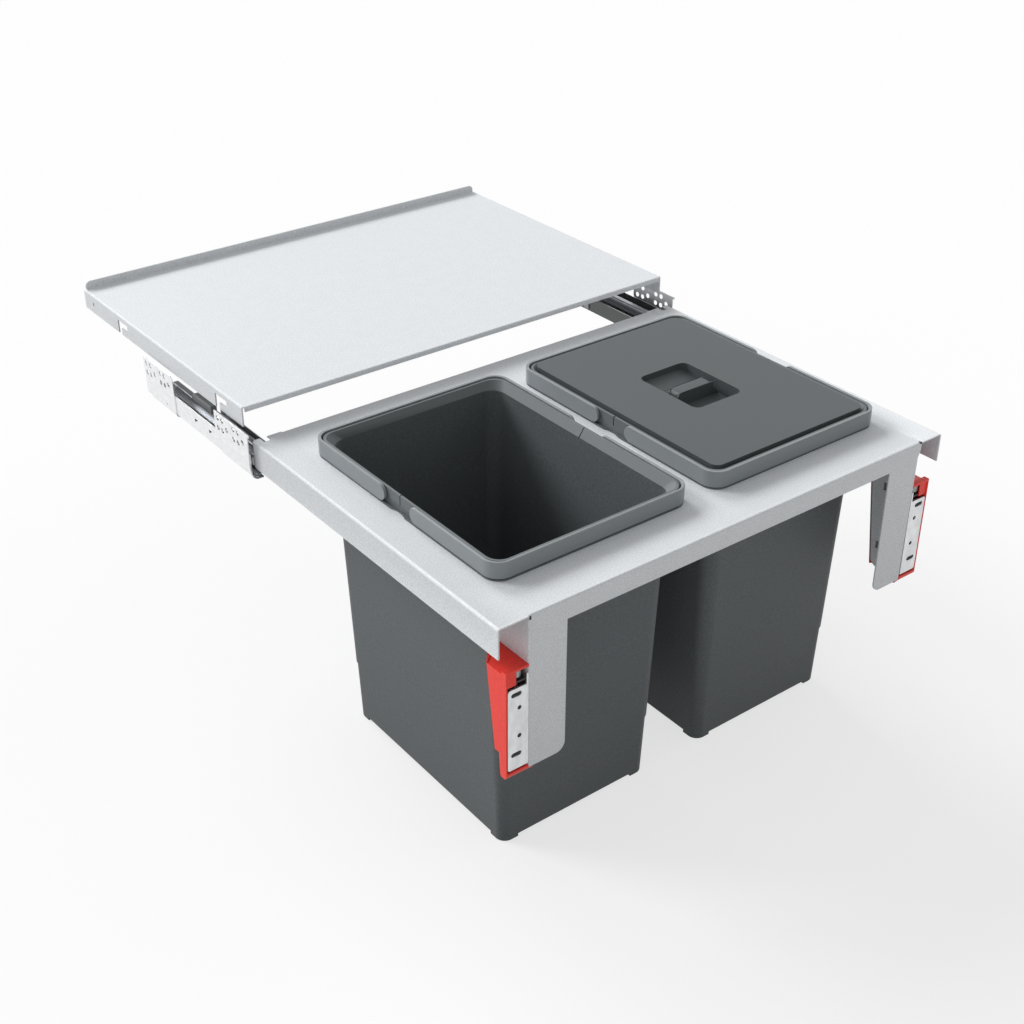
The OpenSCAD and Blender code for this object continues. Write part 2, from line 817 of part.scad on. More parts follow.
module drawer_rail(side) {
    color(runner_steel)
        pulled_out()
            on_side(side)
                along_y(drawer_rail_setback, drawer_rail_l)
                    translate([rail_x, -sheet_t])
                        difference() {
                            box2([-drawer_rail_w / 2, -drawer_rail_h], [drawer_rail_w / 2, 0]);
                            box2([-drawer_in, -drawer_rail_h - over], [drawer_in, -rail_t]);
                            for (s = [-1, 1])
                                mirror([s < 0 ? 1 : 0, 0])
                                    translate([drawer_rail_w / 2, 0])
                                        rotate(180)
                                            corner_cut(drawer_rail_r);
                        }
}

// Places for the balls of both rows, as many as the cage's length holds
module ball_places(length, row_x, z) {
    count = floor((length - ball_pitch) / ball_pitch) + 1;
    first = (length - (count - 1) * ball_pitch) / 2;
    for (i = [0 : count - 1], s = [-1, 1])
        translate([s * row_x, first + i * ball_pitch, z])
            children();
}

// A cage straddles the head or rib under its bridge, with a hole for each ball
module cage(length, row_x, ball_d, ball_z, bridge_z, low_z) {
    difference() {
        along_y(0, length) {
            for (s = [-1, 1])
                translate([s * row_x, 0])
                    box2([-cage_t / 2, low_z], [cage_t / 2, bridge_z + bridge_t]);
            box2([-row_x, bridge_z], [row_x, bridge_z + bridge_t]);
        }
        ball_places(length, row_x, ball_z)
            rotate([0, 90, 0])
                cylinder(d = ball_d + 2 * pin_clearance, h = 2 * cage_t, center = true);
    }
}

module lower_cage(side) {
    color(clip_dark)
        on_side(side)
            translate([rail_x, lower_cage_y, 0])
                cage(lower_cage_l, lower_row_x, lower_ball_d, lower_ball_z,
                     rib_top + cage_gap, floor_z + cage_gap);
}

module upper_cage(side) {
    color(clip_dark)
        on_side(side)
            translate([rail_x, upper_cage_y, 0])
                cage(upper_cage_l, upper_row_x, upper_ball_d, upper_ball_z,
                     cage_gap - middle_drop, ledge_z + cage_gap);
}

module lower_balls(side) {
    color(ball_steel)
        on_side(side)
            translate([rail_x, lower_cage_y, 0])
                ball_places(lower_cage_l, lower_row_x, lower_ball_z)
                    sphere(d = lower_ball_d, $fn = 24);
}

module upper_balls(side) {
    color(ball_steel)
        on_side(side)
            translate([rail_x, upper_cage_y, 0])
                ball_places(upper_cage_l, upper_row_x, upper_ball_z)
                    sphere(d = upper_ball_d, $fn = 24);
}

// The light plastic clip over the end of the cabinet rail's inner upright
module rail_clip(side) {
    color(clip_white)
        on_side(side)
            translate([rail_x - upright_offset, cabinet_rail_setback + upright_l, 0])
                difference() {
                    along_y(-clip_reach, clip_reach + clip_t)
                        box2([-clip_t, floor_z], [rail_t + clip_t, clip_t - upright_drop]);
                    along_y(-clip_reach - over, clip_reach + over)
                        box2([0, floor_z - over], [rail_t, -upright_drop]);
                }
}

// One group of five screw holes, round its first hole
module hole_group() {
    for (p = [[0, 0], [hole_step, 0], [0, -row_drop], [hole_step, -row_drop],
              [-hole_step, -odd_hole_drop]])
        translate(p)
            circle(d = screw_hole_d);
}

// A bracket: a plate on the cabinet wall whose foot folds in under the runner
module bracket(side, first_y, outline) {
    wall = cabinet_w / 2;
    centre = [wall - bracket_fold_r, bracket_fold_r - runner_drop];
    color(zinc)
        on_side(side)
            difference() {
                intersection() {
                    along_y(first_y - bracket_pitch / 3, bracket_pitch) {
                        box2([wall - rail_t, centre[1]], [wall, bracket_top]);
                        bend2(centre, bracket_fold_r - rail_t, rail_t, 3);
                        box2([wall - bracket_foot_w, -runner_drop], [centre[0], rail_t - runner_drop]);
                    }
                    along_x(wall - bracket_foot_w - over, bracket_foot_w + 2 * over)
                        translate([first_y, 0])
                            polygon(outline);
                }
                along_x(wall - rail_t - over, rail_t + 2 * over)
                    for (i = [0, 1])
                        translate([first_y + i * group_pitch, upper_row_z])
                            hole_group();
            }
}

// Front bracket: a hook at its upper front, a slanted foot and a slanted back
module front_bracket(side) {
    low = -runner_drop - over;
    front = -hole_step - front_edge;
    back = group_pitch + hole_step + rear_edge;
    foot = back - foot_slant;
    bracket(side, screw_setback, [
        [front - hook_tip_h, bracket_top], [front - hook_tip_h, bracket_top - hook_tip_h],
        [front, bracket_top - hook_tip_h], [front, bracket_fold_r + front_edge / 2 - runner_drop],
        [front - bracket_fold_r, low], [foot, low], [foot, bracket_fold_r - runner_drop],
        [back, -row_drop], [back, bracket_top]
    ]);
}

// Rear bracket: chamfered front, slanted back and a pilot hole in its foot
module rear_bracket(side) {
    low = -runner_drop - over;
    front = -hole_step - front_edge;
    back = group_pitch + hole_step + rear_edge;
    foot = back - foot_slant;
    difference() {
        bracket(side, screw_setback + bracket_pitch, [
            [front + bracket_chamfer, bracket_top], [front, bracket_top - bracket_chamfer],
            [front, low], [foot, low], [foot, bracket_fold_r - runner_drop],
            [back, -row_drop], [back, bracket_top]
        ]);
        on_side(side)
            along_x(cabinet_w / 2 - rail_t - over, rail_t + 2 * over)
                translate([screw_setback + bracket_pitch, pilot_h - runner_drop])
                    circle(d = pilot_d);
    }
}

// Bins

// A bin is drawn about its own centre, at the height of the frame's top
module at_bin(side) {
    pulled_out()
        translate([side * bin_x, bin_y, 0])
            children();
}

// How wide, deep and round the body is at a height below the frame
function body_at(z, inset) = let (k = -z / bin_h) [
    bin_w + (bin_base_w - bin_w) * k - 2 * inset,
    bin_d + (bin_base_d - bin_d) * k - 2 * inset,
    bin_r + (bin_base_r - bin_r) * k - inset
];

module bin_body_outside() {
    shoulder_z = shoulder_h - bin_h;
    taper(body_at(shoulder_z, 0), shoulder_z, body_at(0, 0), funnel_z);
    taper(body_at(-bin_h, shoulder_step), -bin_h, body_at(shoulder_z, shoulder_step), shoulder_z + eps);
}

module bin_body_inside() {
    base = foot_h + bin_t - bin_h;
    taper(body_at(base, bin_t + shoulder_step), base, body_at(0, bin_t), funnel_z + eps);
}

// The gap between the corner feet, cut from the underside
module foot_gap() {
    translate([0, 0, -bin_h - over])
        linear_extrude(foot_h + over) {
            square([bin_base_w - 2 * foot_w, bin_d + 2], center = true);
            square([bin_w + 2, bin_base_d - 2 * foot_w], center = true);
        }
}

// The rim: flange on the frame, outer wall, and the slope that leads into the body
module bin_rim() {
    along_z(0, rim_flange_t)
        difference() {
            rounded(ring_w - 2 * flange_inset, ring_d - 2 * flange_inset, ring_r - flange_inset);
            rounded(mouth_w, mouth_d, mouth_r);
            // The flange is waisted between the handles' tips
            for (s = [-1, 1])
                translate([s * (ring_w / 2 + waist_r - waist_depth), 0])
                    circle(waist_r);
        }
    along_z(0, rim_h)
        difference() {
            rounded(rim_w, rim_d, rim_r);
            rounded(mouth_w, mouth_d, mouth_r);
        }
    // The slope's underside stays open, so that the rim is a thin-walled channel
    along_z(funnel_z - bin_t, rim_h - funnel_z + bin_t)
        difference() {
            rounded(mouth_w + eps, mouth_d + eps, mouth_r);
            rounded(body_in_w, body_in_d, bin_r - bin_t);
        }
}

module bin(side) {
    color(bin_grey)
        at_bin(side)
            difference() {
                union() {
                    bin_body_outside();
                    bin_rim();
                }
                bin_body_inside();
                taper([body_in_w, body_in_d, bin_r - bin_t], funnel_z,
                      [mouth_w, mouth_d, mouth_r], rim_h + eps);
                foot_gap();
                // Slits at the middle of the long rims
                along_z(rim_h - slit_h, slit_h + over)
                    square([rim_w + 2, slit_w], center = true);
                // Blind holes for the handles' pivot pins
                for (sx = [-1, 1], sy = [-1, 1])
                    translate([sx * rim_w / 2, sy * pivot_y, pivot_z])
                        rotate([0, 90, 0])
                            cylinder(d = pivot_d + 2 * pin_clearance,
                                     h = 2 * pivot_hole_l, center = true);
            }
}

// A handle is the half of a strap ring that lies on its end of the bin, at end -1 or 1
module handle(side, end) {
    color(handle_grey)
        at_bin(side)
            mirror([0, end < 0 ? 1 : 0, 0]) {
                intersection() {
                    along_z(handle_z, handle_h)
                        difference() {
                            rounded(ring_w, ring_d, ring_r);
                            rounded(ring_w - 2 * handle_t, ring_d - 2 * handle_t, ring_r - handle_t);
                        }
                    along_x(-ring_w, 2 * ring_w) {
                        translate([pivot_y, pivot_z])
                            circle(d = handle_h);
                        box2([pivot_y, 0], [ring_d, handle_z + handle_h + over]);
                    }
                }
                for (s = [-1, 1])
                    translate([s * (ring_w / 2 - handle_t - (handle_gap + pivot_l) / 2), pivot_y, pivot_z])
                        rotate([0, 90, 0])
                            cylinder(d = pivot_d, h = handle_gap + pivot_l + eps, center = true);
            }
}

// The grip's outline across the pocket, narrowing to its rounded top
module grip_outline(inset) {
    top = lid_top - inset;
    half = grip_top_w / 2 - inset;
    foot = pocket_w / 2 - inset;
    r = grip_r - inset;
    intersection() {
        union() {
            polygon([
                [-foot, pocket_floor - 2 * lid_t], [foot, pocket_floor - 2 * lid_t],
                [foot, pocket_floor], [half, top - r], [half - r, top],
                [r - half, top], [-half, top - r], [-foot, pocket_floor]
            ]);
            for (s = [-1, 1])
                translate([s * (half - r), top - r])
                    circle(r);
        }
        box2([-foot, 0], [foot, top]);
    }
}

// The pocket's side outline from its front edge at 0: floor, grip and rising rear floor
module pocket_outline() {
    high = lid_top + over;
    box2([0, pocket_floor], [grip_setback, high]);
    polygon([[grip_back, pocket_floor], [pocket_d, pocket_back], [pocket_d, high], [grip_back, high]]);
}

module pocket_tub() {
    intersection() {
        along_z(pocket_floor - lid_t, lid_top - pocket_floor)
            translate([0, pocket_d / 2])
                rounded(pocket_w + 2 * lid_t, pocket_d + 2 * lid_t, pocket_r + lid_t);
        along_x(-pocket_w, 2 * pocket_w)
            polygon([
                [-lid_t, pocket_floor - lid_t], [grip_back, pocket_floor - lid_t],
                [pocket_d + lid_t, pocket_back - lid_t], [pocket_d + lid_t, lid_top],
                [-lid_t, lid_top]
            ]);
    }
}

module pocket_cut() {
    intersection() {
        along_z(0, lid_top + over)
            translate([0, pocket_d / 2])
                rounded(pocket_w, pocket_d, pocket_r);
        union() {
            along_x(-pocket_w, 2 * pocket_w)
                pocket_outline();
            along_y(grip_setback - over, grip_t + 2 * over)
                difference() {
                    box2([-pocket_w, pocket_floor], [pocket_w, lid_top + over]);
                    grip_outline(0);
                }
        }
    }
    // The grip is hollow from below
    along_y(grip_setback + lid_t, grip_t - 2 * lid_t)
        grip_outline(lid_t);
}

module right_bin_lid() {
    color(handle_grey)
        at_bin(1)
            difference() {
                union() {
                    difference() {
                        union() {
                            along_z(skirt_z, lid_top - lid_t - skirt_z)
                                rounded(skirt_w, skirt_d, lid_skirt_r);
                            along_z(lid_step_z, lid_top - lid_step_z)
                                rounded(skirt_w, skirt_d, lid_r);
                        }
                        along_z(skirt_z - over, lid_top - lid_t - skirt_z + over)
                            rounded(skirt_w - 2 * lid_t, skirt_d - 2 * lid_t, lid_skirt_r - lid_t);
                    }
                    translate([-pocket_offset, -pocket_front, 0])
                        pocket_tub();
                }
                translate([-pocket_offset, -pocket_front, 0])
                    pocket_cut();
            }
}

// Door brackets

// The door plate's front face, with its slots and holes, beside the leg
module door_plate_outline() {
    difference() {
        union() {
            box2([arm_in, plate_base], [leg_x + plate_w - plate_r, -plate_drop]);
            box2([arm_in, plate_base + plate_r], [leg_x + plate_w, -plate_drop - plate_r]);
            for (z = [-plate_drop - plate_r, plate_base + plate_r])
                translate([leg_x + plate_w - plate_r, z])
                    circle(plate_r);
        }
        for (i = [0, 1]) {
            translate([leg_x + door_slot_x, -plate_drop - door_slot_inset - i * door_slot_pitch])
                slot2(door_slot_l, door_slot_w);
            translate([leg_x + door_hole_x, -plate_drop - door_hole_inset - i * door_hole_pitch])
                circle(d = door_hole_d);
        }
    }
}

module door_plate(side) {
    color(zinc)
        pulled_out()
            on_side(side) {
                along_y(0, plate_t)
                    door_plate_outline();
                // Arm back along the leg's flange
                difference() {
                    along_x(arm_in, plate_t)
                        polygon([
                            [0, plate_base], [arm_l - arm_chamfer, plate_base],
                            [arm_l, plate_base + arm_chamfer],
                            [arm_l, plate_base + arm_h], [0, plate_base + arm_h]
                        ]);
                    along_x(arm_in - over, plate_t + 2 * over)
                        for (i = [0, 1])
                            translate([guide_setback, -guide_drop - i * guide_pitch])
                                circle(d = guide_pin_d + 2 * pin_clearance);
                }
                // Threaded lug for the adjusting screw
                difference() {
                    along_z(lug_top - lug_t, lug_t)
                        box2([arm_in + plate_t - eps, plate_t - eps],
                             [leg_x + wheel_x + lug_half, wheel_y + lug_half]);
                    translate([leg_x + wheel_x, wheel_y, lug_top - lug_t - over])
                        cylinder(d = adjust_screw_d + 2 * pin_clearance, h = lug_t + 2 * over);
                }
            }
}

module guide_pins(side) {
    color(zinc)
        pulled_out()
            on_side(side)
                for (i = [0, 1])
                    translate([leg_x, guide_setback, -guide_drop - i * guide_pitch])
                        rotate([0, 90, 0]) {
                            translate([0, 0, slide_gap - sheet_t])
                                cylinder(d = guide_pin_d,
                                         h = plate_gap + plate_t + sheet_t - slide_gap + eps);
                            translate([0, 0, plate_gap + plate_t])
                                cylinder(d = guide_head_d, h = guide_head_t);
                        }
}

module adjusting_wheel(side) {
    color(zinc)
        pulled_out()
            on_side(side)
                translate([leg_x + wheel_x, wheel_y, 0]) {
                    along_z(wheel_base, wheel_h)
                        difference() {
                            circle(d = wheel_d);
                            for (i = [1 : wheel_grooves])
                                rotate(i * 360 / wheel_grooves)
                                    translate([wheel_d / 2, 0])
                                        circle(d = groove_d, $fn = 16);
                        }
                    translate([0, 0, wheel_base - adjust_screw_l])
                        cylinder(d = adjust_screw_d, h = adjust_screw_l + eps);
                    translate([0, 0, wheel_top - eps])
                        cylinder(d = spigot_d, h = spigot_h + slide_gap);
                }
}

// The cover's plan, from behind the leg's flange out to its outer face, shrunk by a wall
module cover_plan(side_d, rear_d, wall) {
    inner_x = leg_x - cover_wrap - (wall > 0 ? over : 0);
    outer_x = leg_x + cover_w - wall;
    front_y = wall > 0 ? -over : 0;
    polygon([
        [inner_x, front_y], [outer_x, front_y], [outer_x, side_d - wall * 0.6],
        [leg_x + cover_t - wall * 0.4, rear_d - wall], [inner_x, rear_d - wall]
    ]);
}

module cover_block(z0, z1, side0, side1, wall) {
    rear_gap = slide_gap + cover_t;
    hull() {
        translate([0, 0, z0])
            linear_extrude(eps)
                cover_plan(side0, flange_depth(z0) + rear_gap, wall);
        translate([0, 0, z1 - eps])
            linear_extrude(eps)
                cover_plan(side1, flange_depth(z1) + rear_gap, wall);
    }
}

// The cover's outside: a wedge down to the step, a narrower tongue and a curved lip
module cover_outside() {
    tongue_z = cover_base + cover_lip_h;
    lap = 4;
    cover_block(step_z, -cover_drop, cover_side_d - cover_taper, cover_side_d, 0);
    cover_block(tongue_z, step_z + lap, cover_tongue_d, cover_tongue_d, 0);
    along_x(leg_x, cover_w)
        intersection() {
            translate([cover_tongue_d / 2, tongue_z])
                circle(cover_tongue_d / 2);
            box2([0, cover_base], [cover_tongue_d, tongue_z + over]);
        }
}

module cover_inside() {
    low_z = plate_base - adjust_range - adjust_spare;
    lap = 3;
    cover_block(step_z, -cover_drop - cover_top_t, cover_side_d - cover_taper, cover_side_d, cover_t);
    cover_block(low_z, step_z + lap, cover_tongue_d, cover_tongue_d, cover_t);
}

// Latches reach from the cover's rear wall through the slots in the leg's flange
module cover_latches() {
    half_w = latch_w / 2 - latch_play;
    half_h = latch_h / 2 - 2 * latch_play;
    tip_x = plate_gap - sheet_t;
    root_x = plate_gap + 2 * latch_t;
    for (i = [0, 1])
        along_z(-latch_drop - i * latch_pitch - half_h, 2 * half_h)
            translate([leg_x, latch_setback])
                polygon([
                    [tip_x, -half_w], [root_x, -half_w], [root_x, cover_side_d],
                    [plate_gap, cover_side_d], [plate_gap, half_w], [tip_x, half_w]
                ]);
}

module adjuster_cover(side) {
    top = -cover_drop;
    color(cover_red)
        pulled_out()
            on_side(side) {
                difference() {
                    cover_outside();
                    cover_inside();
                    // The leg's flange passes inside the cover's rear wrap
                    along_x(leg_x - 2 * cover_wrap, 2 * cover_wrap)
                        polygon([
                            [-over, 0], [flange_depth(0) + slide_gap, 0],
                            [flange_depth(cover_base) + slide_gap, cover_base],
                            [flange_depth(cover_base) + slide_gap, cover_base - over],
                            [-over, cover_base - over]
                        ]);
                    // Recess in the top, inside an L-shaped ledge
                    along_z(top - cover_recess, cover_recess + over)
                        polygon([
                            [leg_x + cover_ledge_w, cover_ledge_w],
                            [leg_x + cover_w + over, cover_ledge_w],
                            [leg_x + cover_w + over, cover_side_d - cover_t],
                            [leg_x + cover_ledge_w, cover_side_d + ledge_run - cover_t]
                        ]);
                    // Seat of the wheel's spigot
                    translate([leg_x + wheel_x, wheel_y, top - cover_top_t - over])
                        cylinder(d = spigot_d + 2 * pin_clearance, h = spigot_h + over + spigot_play);
                }
                intersection() {
                    cover_latches();
                    cover_outside();
                }
            }
}

// Shelf

// An L-shaped hook slot, open at the flange's lower edge, from the mouth's front corner at 0
module hook_slot() {
    high = shelf_top - hook_land;
    box2([0, 0], [hook_mouth_w, high]);
    box2([-hook_arm_l, high - hook_arm_h], [hook_mouth_w, high]);
}

module shelf() {
    t = sheet_t;
    front = shelf_setback + bend_out;
    color(steel)
        difference() {
            union() {
                along_z(shelf_top - t, t)
                    box2([bend_out - shelf_half, front], [shelf_half - bend_out, shelf_back - bend_out]);
                translate([0, 0, shelf_top]) {
                    for (side = [-1, 1])
                        on_side(side)
                            along_y(front, shelf_d - bend_out)
                                flange_section(shelf_half, shelf_flange_h, t, bend_r);
                    // Front hem
                    along_x(bend_out - shelf_half, 2 * (shelf_half - bend_out)) {
                        bend2([front, -bend_out], bend_r, t, 1);
                        box2([shelf_setback, -shelf_hem_h], [shelf_setback + t, -bend_out]);
                    }
                    // Rear lip
                    along_x(bend_out - shelf_half, 2 * (shelf_half - bend_out))
                        bend2([shelf_back - bend_out, bend_r], bend_r, t, 3);
                }
                along_y(shelf_back - t, t)
                    intersection() {
                        translate([0, shelf_top + bend_r])
                            rounded(2 * (shelf_half - bend_out), 2 * (shelf_lip_h - bend_r), lip_corner_r);
                        box2([-shelf_half, shelf_top + bend_r], [shelf_half, shelf_top + shelf_lip_h]);
                    }
            }
            for (side = [-1, 1])
                on_side(side)
                    along_x(shelf_half - t - over, t + 2 * over) {
                        for (i = [0, 1])
                            translate([hook_setback + i * hook_pitch, 0])
                                hook_slot();
                        translate([shelf_back - side_hole_inset, shelf_top - side_hole_drop])
                            circle(d = side_hole_d);
                    }
        }
}

shelf();
bin_frame();
cabinet_rail(-1);  // left_cabinet_rail
cabinet_rail(1);  // right_cabinet_rail
front_bracket(-1);  // left_front_bracket
front_bracket(1);  // right_front_bracket
rear_bracket(-1);  // left_rear_bracket
rear_bracket(1);  // right_rear_bracket
rail_clip(-1);  // left_rail_clip
rail_clip(1);  // right_rail_clip
middle_rail(-1);  // left_middle_rail
middle_rail(1);  // right_middle_rail
stop_clip(-1);  // left_stop_clip
stop_clip(1);  // right_stop_clip
drawer_rail(-1);  // left_drawer_rail
drawer_rail(1);  // right_drawer_rail
lower_cage(-1);  // left_lower_cage
lower_cage(1);  // right_lower_cage
upper_cage(-1);  // left_upper_cage
upper_cage(1);  // right_upper_cage
lower_balls(-1);  // left_lower_balls
lower_balls(1);  // right_lower_balls
upper_balls(-1);  // left_upper_balls
upper_balls(1);  // right_upper_balls
door_plate(-1);  // left_door_plate
door_plate(1);  // right_door_plate
guide_pins(-1);  // left_guide_pins
guide_pins(1);  // right_guide_pins
adjusting_wheel(-1);  // left_adjusting_wheel
adjusting_wheel(1);  // right_adjusting_wheel
adjuster_cover(-1);  // left_adjuster_cover
adjuster_cover(1);  // right_adjuster_cover
bin(-1);  // left_bin
bin(1);  // right_bin
handle(-1, -1);  // left_front_handle
handle(-1, 1);  // left_rear_handle
handle(1, -1);  // right_front_handle
handle(1, 1);  // right_rear_handle
right_bin_lid();
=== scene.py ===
"""Looks of a pull-out bin frame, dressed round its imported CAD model.

The sub-assemblies keep their own sizes in millimetres, as the part's source does, and MM turns
them into Blender's metres. X runs across the cabinet, Y into its depth and Z up.
"""

import logging
import math
from contextlib import contextmanager
from dataclasses import dataclass, field
from enum import Enum
from typing import Callable, Iterator, Sequence

import bmesh
import bpy
from mathutils import Euler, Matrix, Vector


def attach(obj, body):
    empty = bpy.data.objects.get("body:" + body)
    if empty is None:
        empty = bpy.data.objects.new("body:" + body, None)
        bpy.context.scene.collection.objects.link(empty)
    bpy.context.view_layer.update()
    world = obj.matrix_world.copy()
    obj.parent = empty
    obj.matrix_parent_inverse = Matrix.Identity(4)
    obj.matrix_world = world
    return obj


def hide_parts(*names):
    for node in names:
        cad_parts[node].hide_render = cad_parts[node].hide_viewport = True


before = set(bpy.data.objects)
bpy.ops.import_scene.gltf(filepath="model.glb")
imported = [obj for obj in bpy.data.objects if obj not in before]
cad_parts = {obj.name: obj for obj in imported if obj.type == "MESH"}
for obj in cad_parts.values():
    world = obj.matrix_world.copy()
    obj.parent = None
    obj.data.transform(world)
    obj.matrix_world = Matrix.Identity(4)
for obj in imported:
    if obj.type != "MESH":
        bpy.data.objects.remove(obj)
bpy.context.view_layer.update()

MM = 0.001
TRAVEL = 381.0   # how far the frame stands out at rest: its front is at Y = -TRAVEL
NEAR = 0.05      # a place this near a plane counts as on it, in millimetres
FACING = 0.9     # share of an axis from which a normal faces along it
ALONG = 0.99     # the same for an edge, or for a face that has to be flat
ASIDE = 0.1      # and the share below which it lies across the axis
MERGE = 1e-6     # points nearer than this many metres become one
FLAT = 0.6       # neighbouring faces within this many degrees become one
LOG = logging.getLogger("bin_frame")

Point = Sequence[float]
Piece = bpy.types.Object
# Given a middle in millimetres, and the normal of a face or the way of an edge
Test = Callable[[Vector, Vector], bool]


class Place(Enum):
    """A place that stands in the names of nodes and bodies."""

    @property
    def word(self) -> str:
        """The place's word in those names."""
        return self.name.lower()


class Side(Place):
    """The two sides of the cabinet, with the sign of their X."""

    LEFT = -1
    RIGHT = 1


class End(Place):
    """The two ends of a bin, with the sign of their Y."""

    FRONT = -1
    REAR = 1


class Part(Enum):
    """What is picked in edit mode, with the name of its list in a mesh."""

    FACE = "faces"
    EDGE = "edges"


# Finishes


class Tree:
    """A material's node tree, with short ways to add and join its nodes."""

    def __init__(self, name: str) -> None:
        """Starts a material with one Principled surface.

        Args:
            name: the material's name.
        """
        self.material = bpy.data.materials.new(name)
        self.material.use_nodes = True
        self.nodes = self.material.node_tree.nodes
        self.links = self.material.node_tree.links
        self.surface = self.nodes["Principled BSDF"]
        self.place = self.nodes.new("ShaderNodeTexCoord").outputs["Object"]

    def node(self, kind: str, **inputs: object) -> bpy.types.Node:
        """Adds a node and sets or joins its inputs.

        Args:
            kind: Blender's name of the node.
            inputs: values or sockets by the input's name, with _ for a space.

        Returns:
            The new node.
        """
        made = self.nodes.new(kind)
        for key, value in inputs.items():
            self.feed(made, key.replace("_", " "), value)
        return made

    def feed(self, node: bpy.types.Node, key: str | int, value: object) -> None:
        """Sets an input of a node, or joins a socket to it.

        Args:
            node: the node.
            key: the input's name or number.
            value: a plain value, or the socket to join.
        """
        socket = node.inputs[key]
        if isinstance(value, bpy.types.NodeSocket):
            self.links.new(value, socket)
        else:
            socket.default_value = value

    def maths(self, operation: str, *values: object) -> bpy.types.NodeSocket:
        """Adds a Math node.

        Args:
            operation: Blender's name of the sum, such as MULTIPLY_ADD.
            values: its inputs in order, numbers or sockets.

        Returns:
            The result's socket.
        """
        made = self.nodes.new("ShaderNodeMath")
        made.operation = operation
        for index, value in enumerate(values):
            self.feed(made, index, value)
        return made.outputs[0]

    def noise(self, size: float, stretch: Point, detail: float) -> bpy.types.NodeSocket:
        """Adds a noise whose grains are about size millimetres across.

        Args:
            size: width of a grain in millimetres.
            stretch: how many times longer the grain is along each axis.
            detail: octaves of finer noise.

        Returns:
            The noise's value, about 0.5 in the mean.
        """
        mapping = self.node("ShaderNodeMapping", Vector=self.place)
        mapping.inputs["Scale"].default_value = [1 / (size * MM * s) for s in stretch]
        made = self.node("ShaderNodeTexNoise", Vector=mapping.outputs[0], Scale=1.0, Detail=detail)
        return made.outputs["Fac"]


@dataclass(frozen=True)
class Grain:
    """One layer of a surface's texture, such as peel, brushing or mottling.

    Attributes:
        size: width of a grain in millimetres.
        tone: swing of the colour's brightness, as a share.
        height: swing of the surface in millimetres.
        gloss: swing of the roughness.
        stretch: how many times longer the grain is along each axis.
        detail: octaves of finer noise.
    """

    size: float
    tone: float = 0.0
    height: float = 0.0
    gloss: float = 0.0
    stretch: tuple[float, float, float] = (1, 1, 1)
    detail: float = 2.0


@dataclass(frozen=True)
class Finish:
    """A surface finish: colour, roughness and layers of grain.

    Attributes:
        name: the material's name.
        slot: the record's slot that the finish belongs to; not used by the script.
        colour: linear base colour.
        roughness: mean roughness.
        metallic: 1 for bare metal.
        specular: level of the dielectric reflection.
        grains: layers of texture.
    """

    name: str
    slot: str
    colour: tuple[float, float, float]
    roughness: float
    metallic: float = 0.0
    specular: float = 0.5
    grains: tuple[Grain, ...] = ()

    def material(self) -> bpy.types.Material:
        """The finish as a Blender material, made once."""
        return bpy.data.materials.get(self.name) or self.build()

    def build(self) -> bpy.types.Material:
        """Builds the node tree: each grain bends tone, roughness and bump a little."""
        tree = Tree(self.name)
        tone: object = 1.0
        gloss: object = self.roughness
        bump: bpy.types.NodeSocket | None = None
        for grain in self.grains:
            value = tree.noise(grain.size, grain.stretch, grain.detail)
            centred = tree.maths("SUBTRACT", value, 0.5)
            if grain.tone:
                tone = tree.maths("MULTIPLY_ADD", centred, 2 * grain.tone, tone)
            if grain.gloss:
                gloss = tree.maths("MULTIPLY_ADD", centred, 2 * grain.gloss, gloss)
            if grain.height:
                step = tree.node("ShaderNodeBump", Height=value, Strength=1.0,
                                 Distance=grain.height * MM)
                if bump is not None:
                    tree.feed(step, "Normal", bump)
                bump = step.outputs[0]
        shade = tree.node("ShaderNodeVectorMath")
        shade.operation = "SCALE"
        shade.inputs[0].default_value = self.colour
        tree.feed(shade, "Scale", tone)
        tree.feed(tree.surface, "Base Color", shade.outputs[0])
        tree.feed(tree.surface, "Roughness", gloss)
        if bump is not None:
            tree.feed(tree.surface, "Normal", bump)
        tree.surface.inputs["Metallic"].default_value = self.metallic
        tree.surface.inputs["Specular IOR Level"].default_value = self.specular
        return tree.material


POWDER_COAT = Finish(
    "powder_coated_steel", "coated_steel", (0.742, 0.765, 0.788), 0.5, specular=0.3,
    grains=(Grain(1.6, 0.26, 0.014, 0.06), Grain(16, 0.03), Grain(0.8, 0.10, 0.005)),
)
ZINC = Finish(
    "bright_zinc_plate", "zinc", (0.82, 0.83, 0.84), 0.34, 1.0,
    grains=(Grain(5, 0.14, 0.0, 0.08, (1, 1.6, 1), 3), Grain(0.6, 0.05, 0.002, 0.05)),
)
MOTTLED_ZINC = Finish(
    "mottled_zinc_plate", "zinc", (0.66, 0.67, 0.68), 0.42, 1.0,
    grains=(Grain(6, 0.28, 0.0, 0.12, (1, 1, 2), 5), Grain(0.7, 0.08, 0.003, 0.06)),
)
TURNED_ZINC = Finish(
    "turned_zinc", "zinc", (0.34, 0.35, 0.35), 0.28, 1.0,
    grains=(Grain(0.5, 0.12, 0.002, 0.08, (8, 8, 1)), Grain(3, 0.15, 0.0, 0.05)),
)
# Painted shade: near-black steel laid on the frame's nick and notch, the wheel's lower end and
# screw, the door plate's lug and the strip behind its slots.
PAINTED_SHADE_STEEL = Finish(
    "blackened_steel", "zinc", (0.045, 0.045, 0.048), 0.55, 0.5,
    grains=(Grain(0.8, 0.15, 0.003, 0.06),),
)
# The middle and drawer rails' own colour, also laid on the brackets' inner faces as painted shade.
RUNNER_STEEL = Finish(
    "rolled_runner_steel", "runner_steel", (0.42, 0.43, 0.45), 0.36, 1.0,
    grains=(Grain(0.35, 0.08, 0.002, 0.06, (1, 60, 1)), Grain(9, 0.08, 0.0, 0.05)),
)
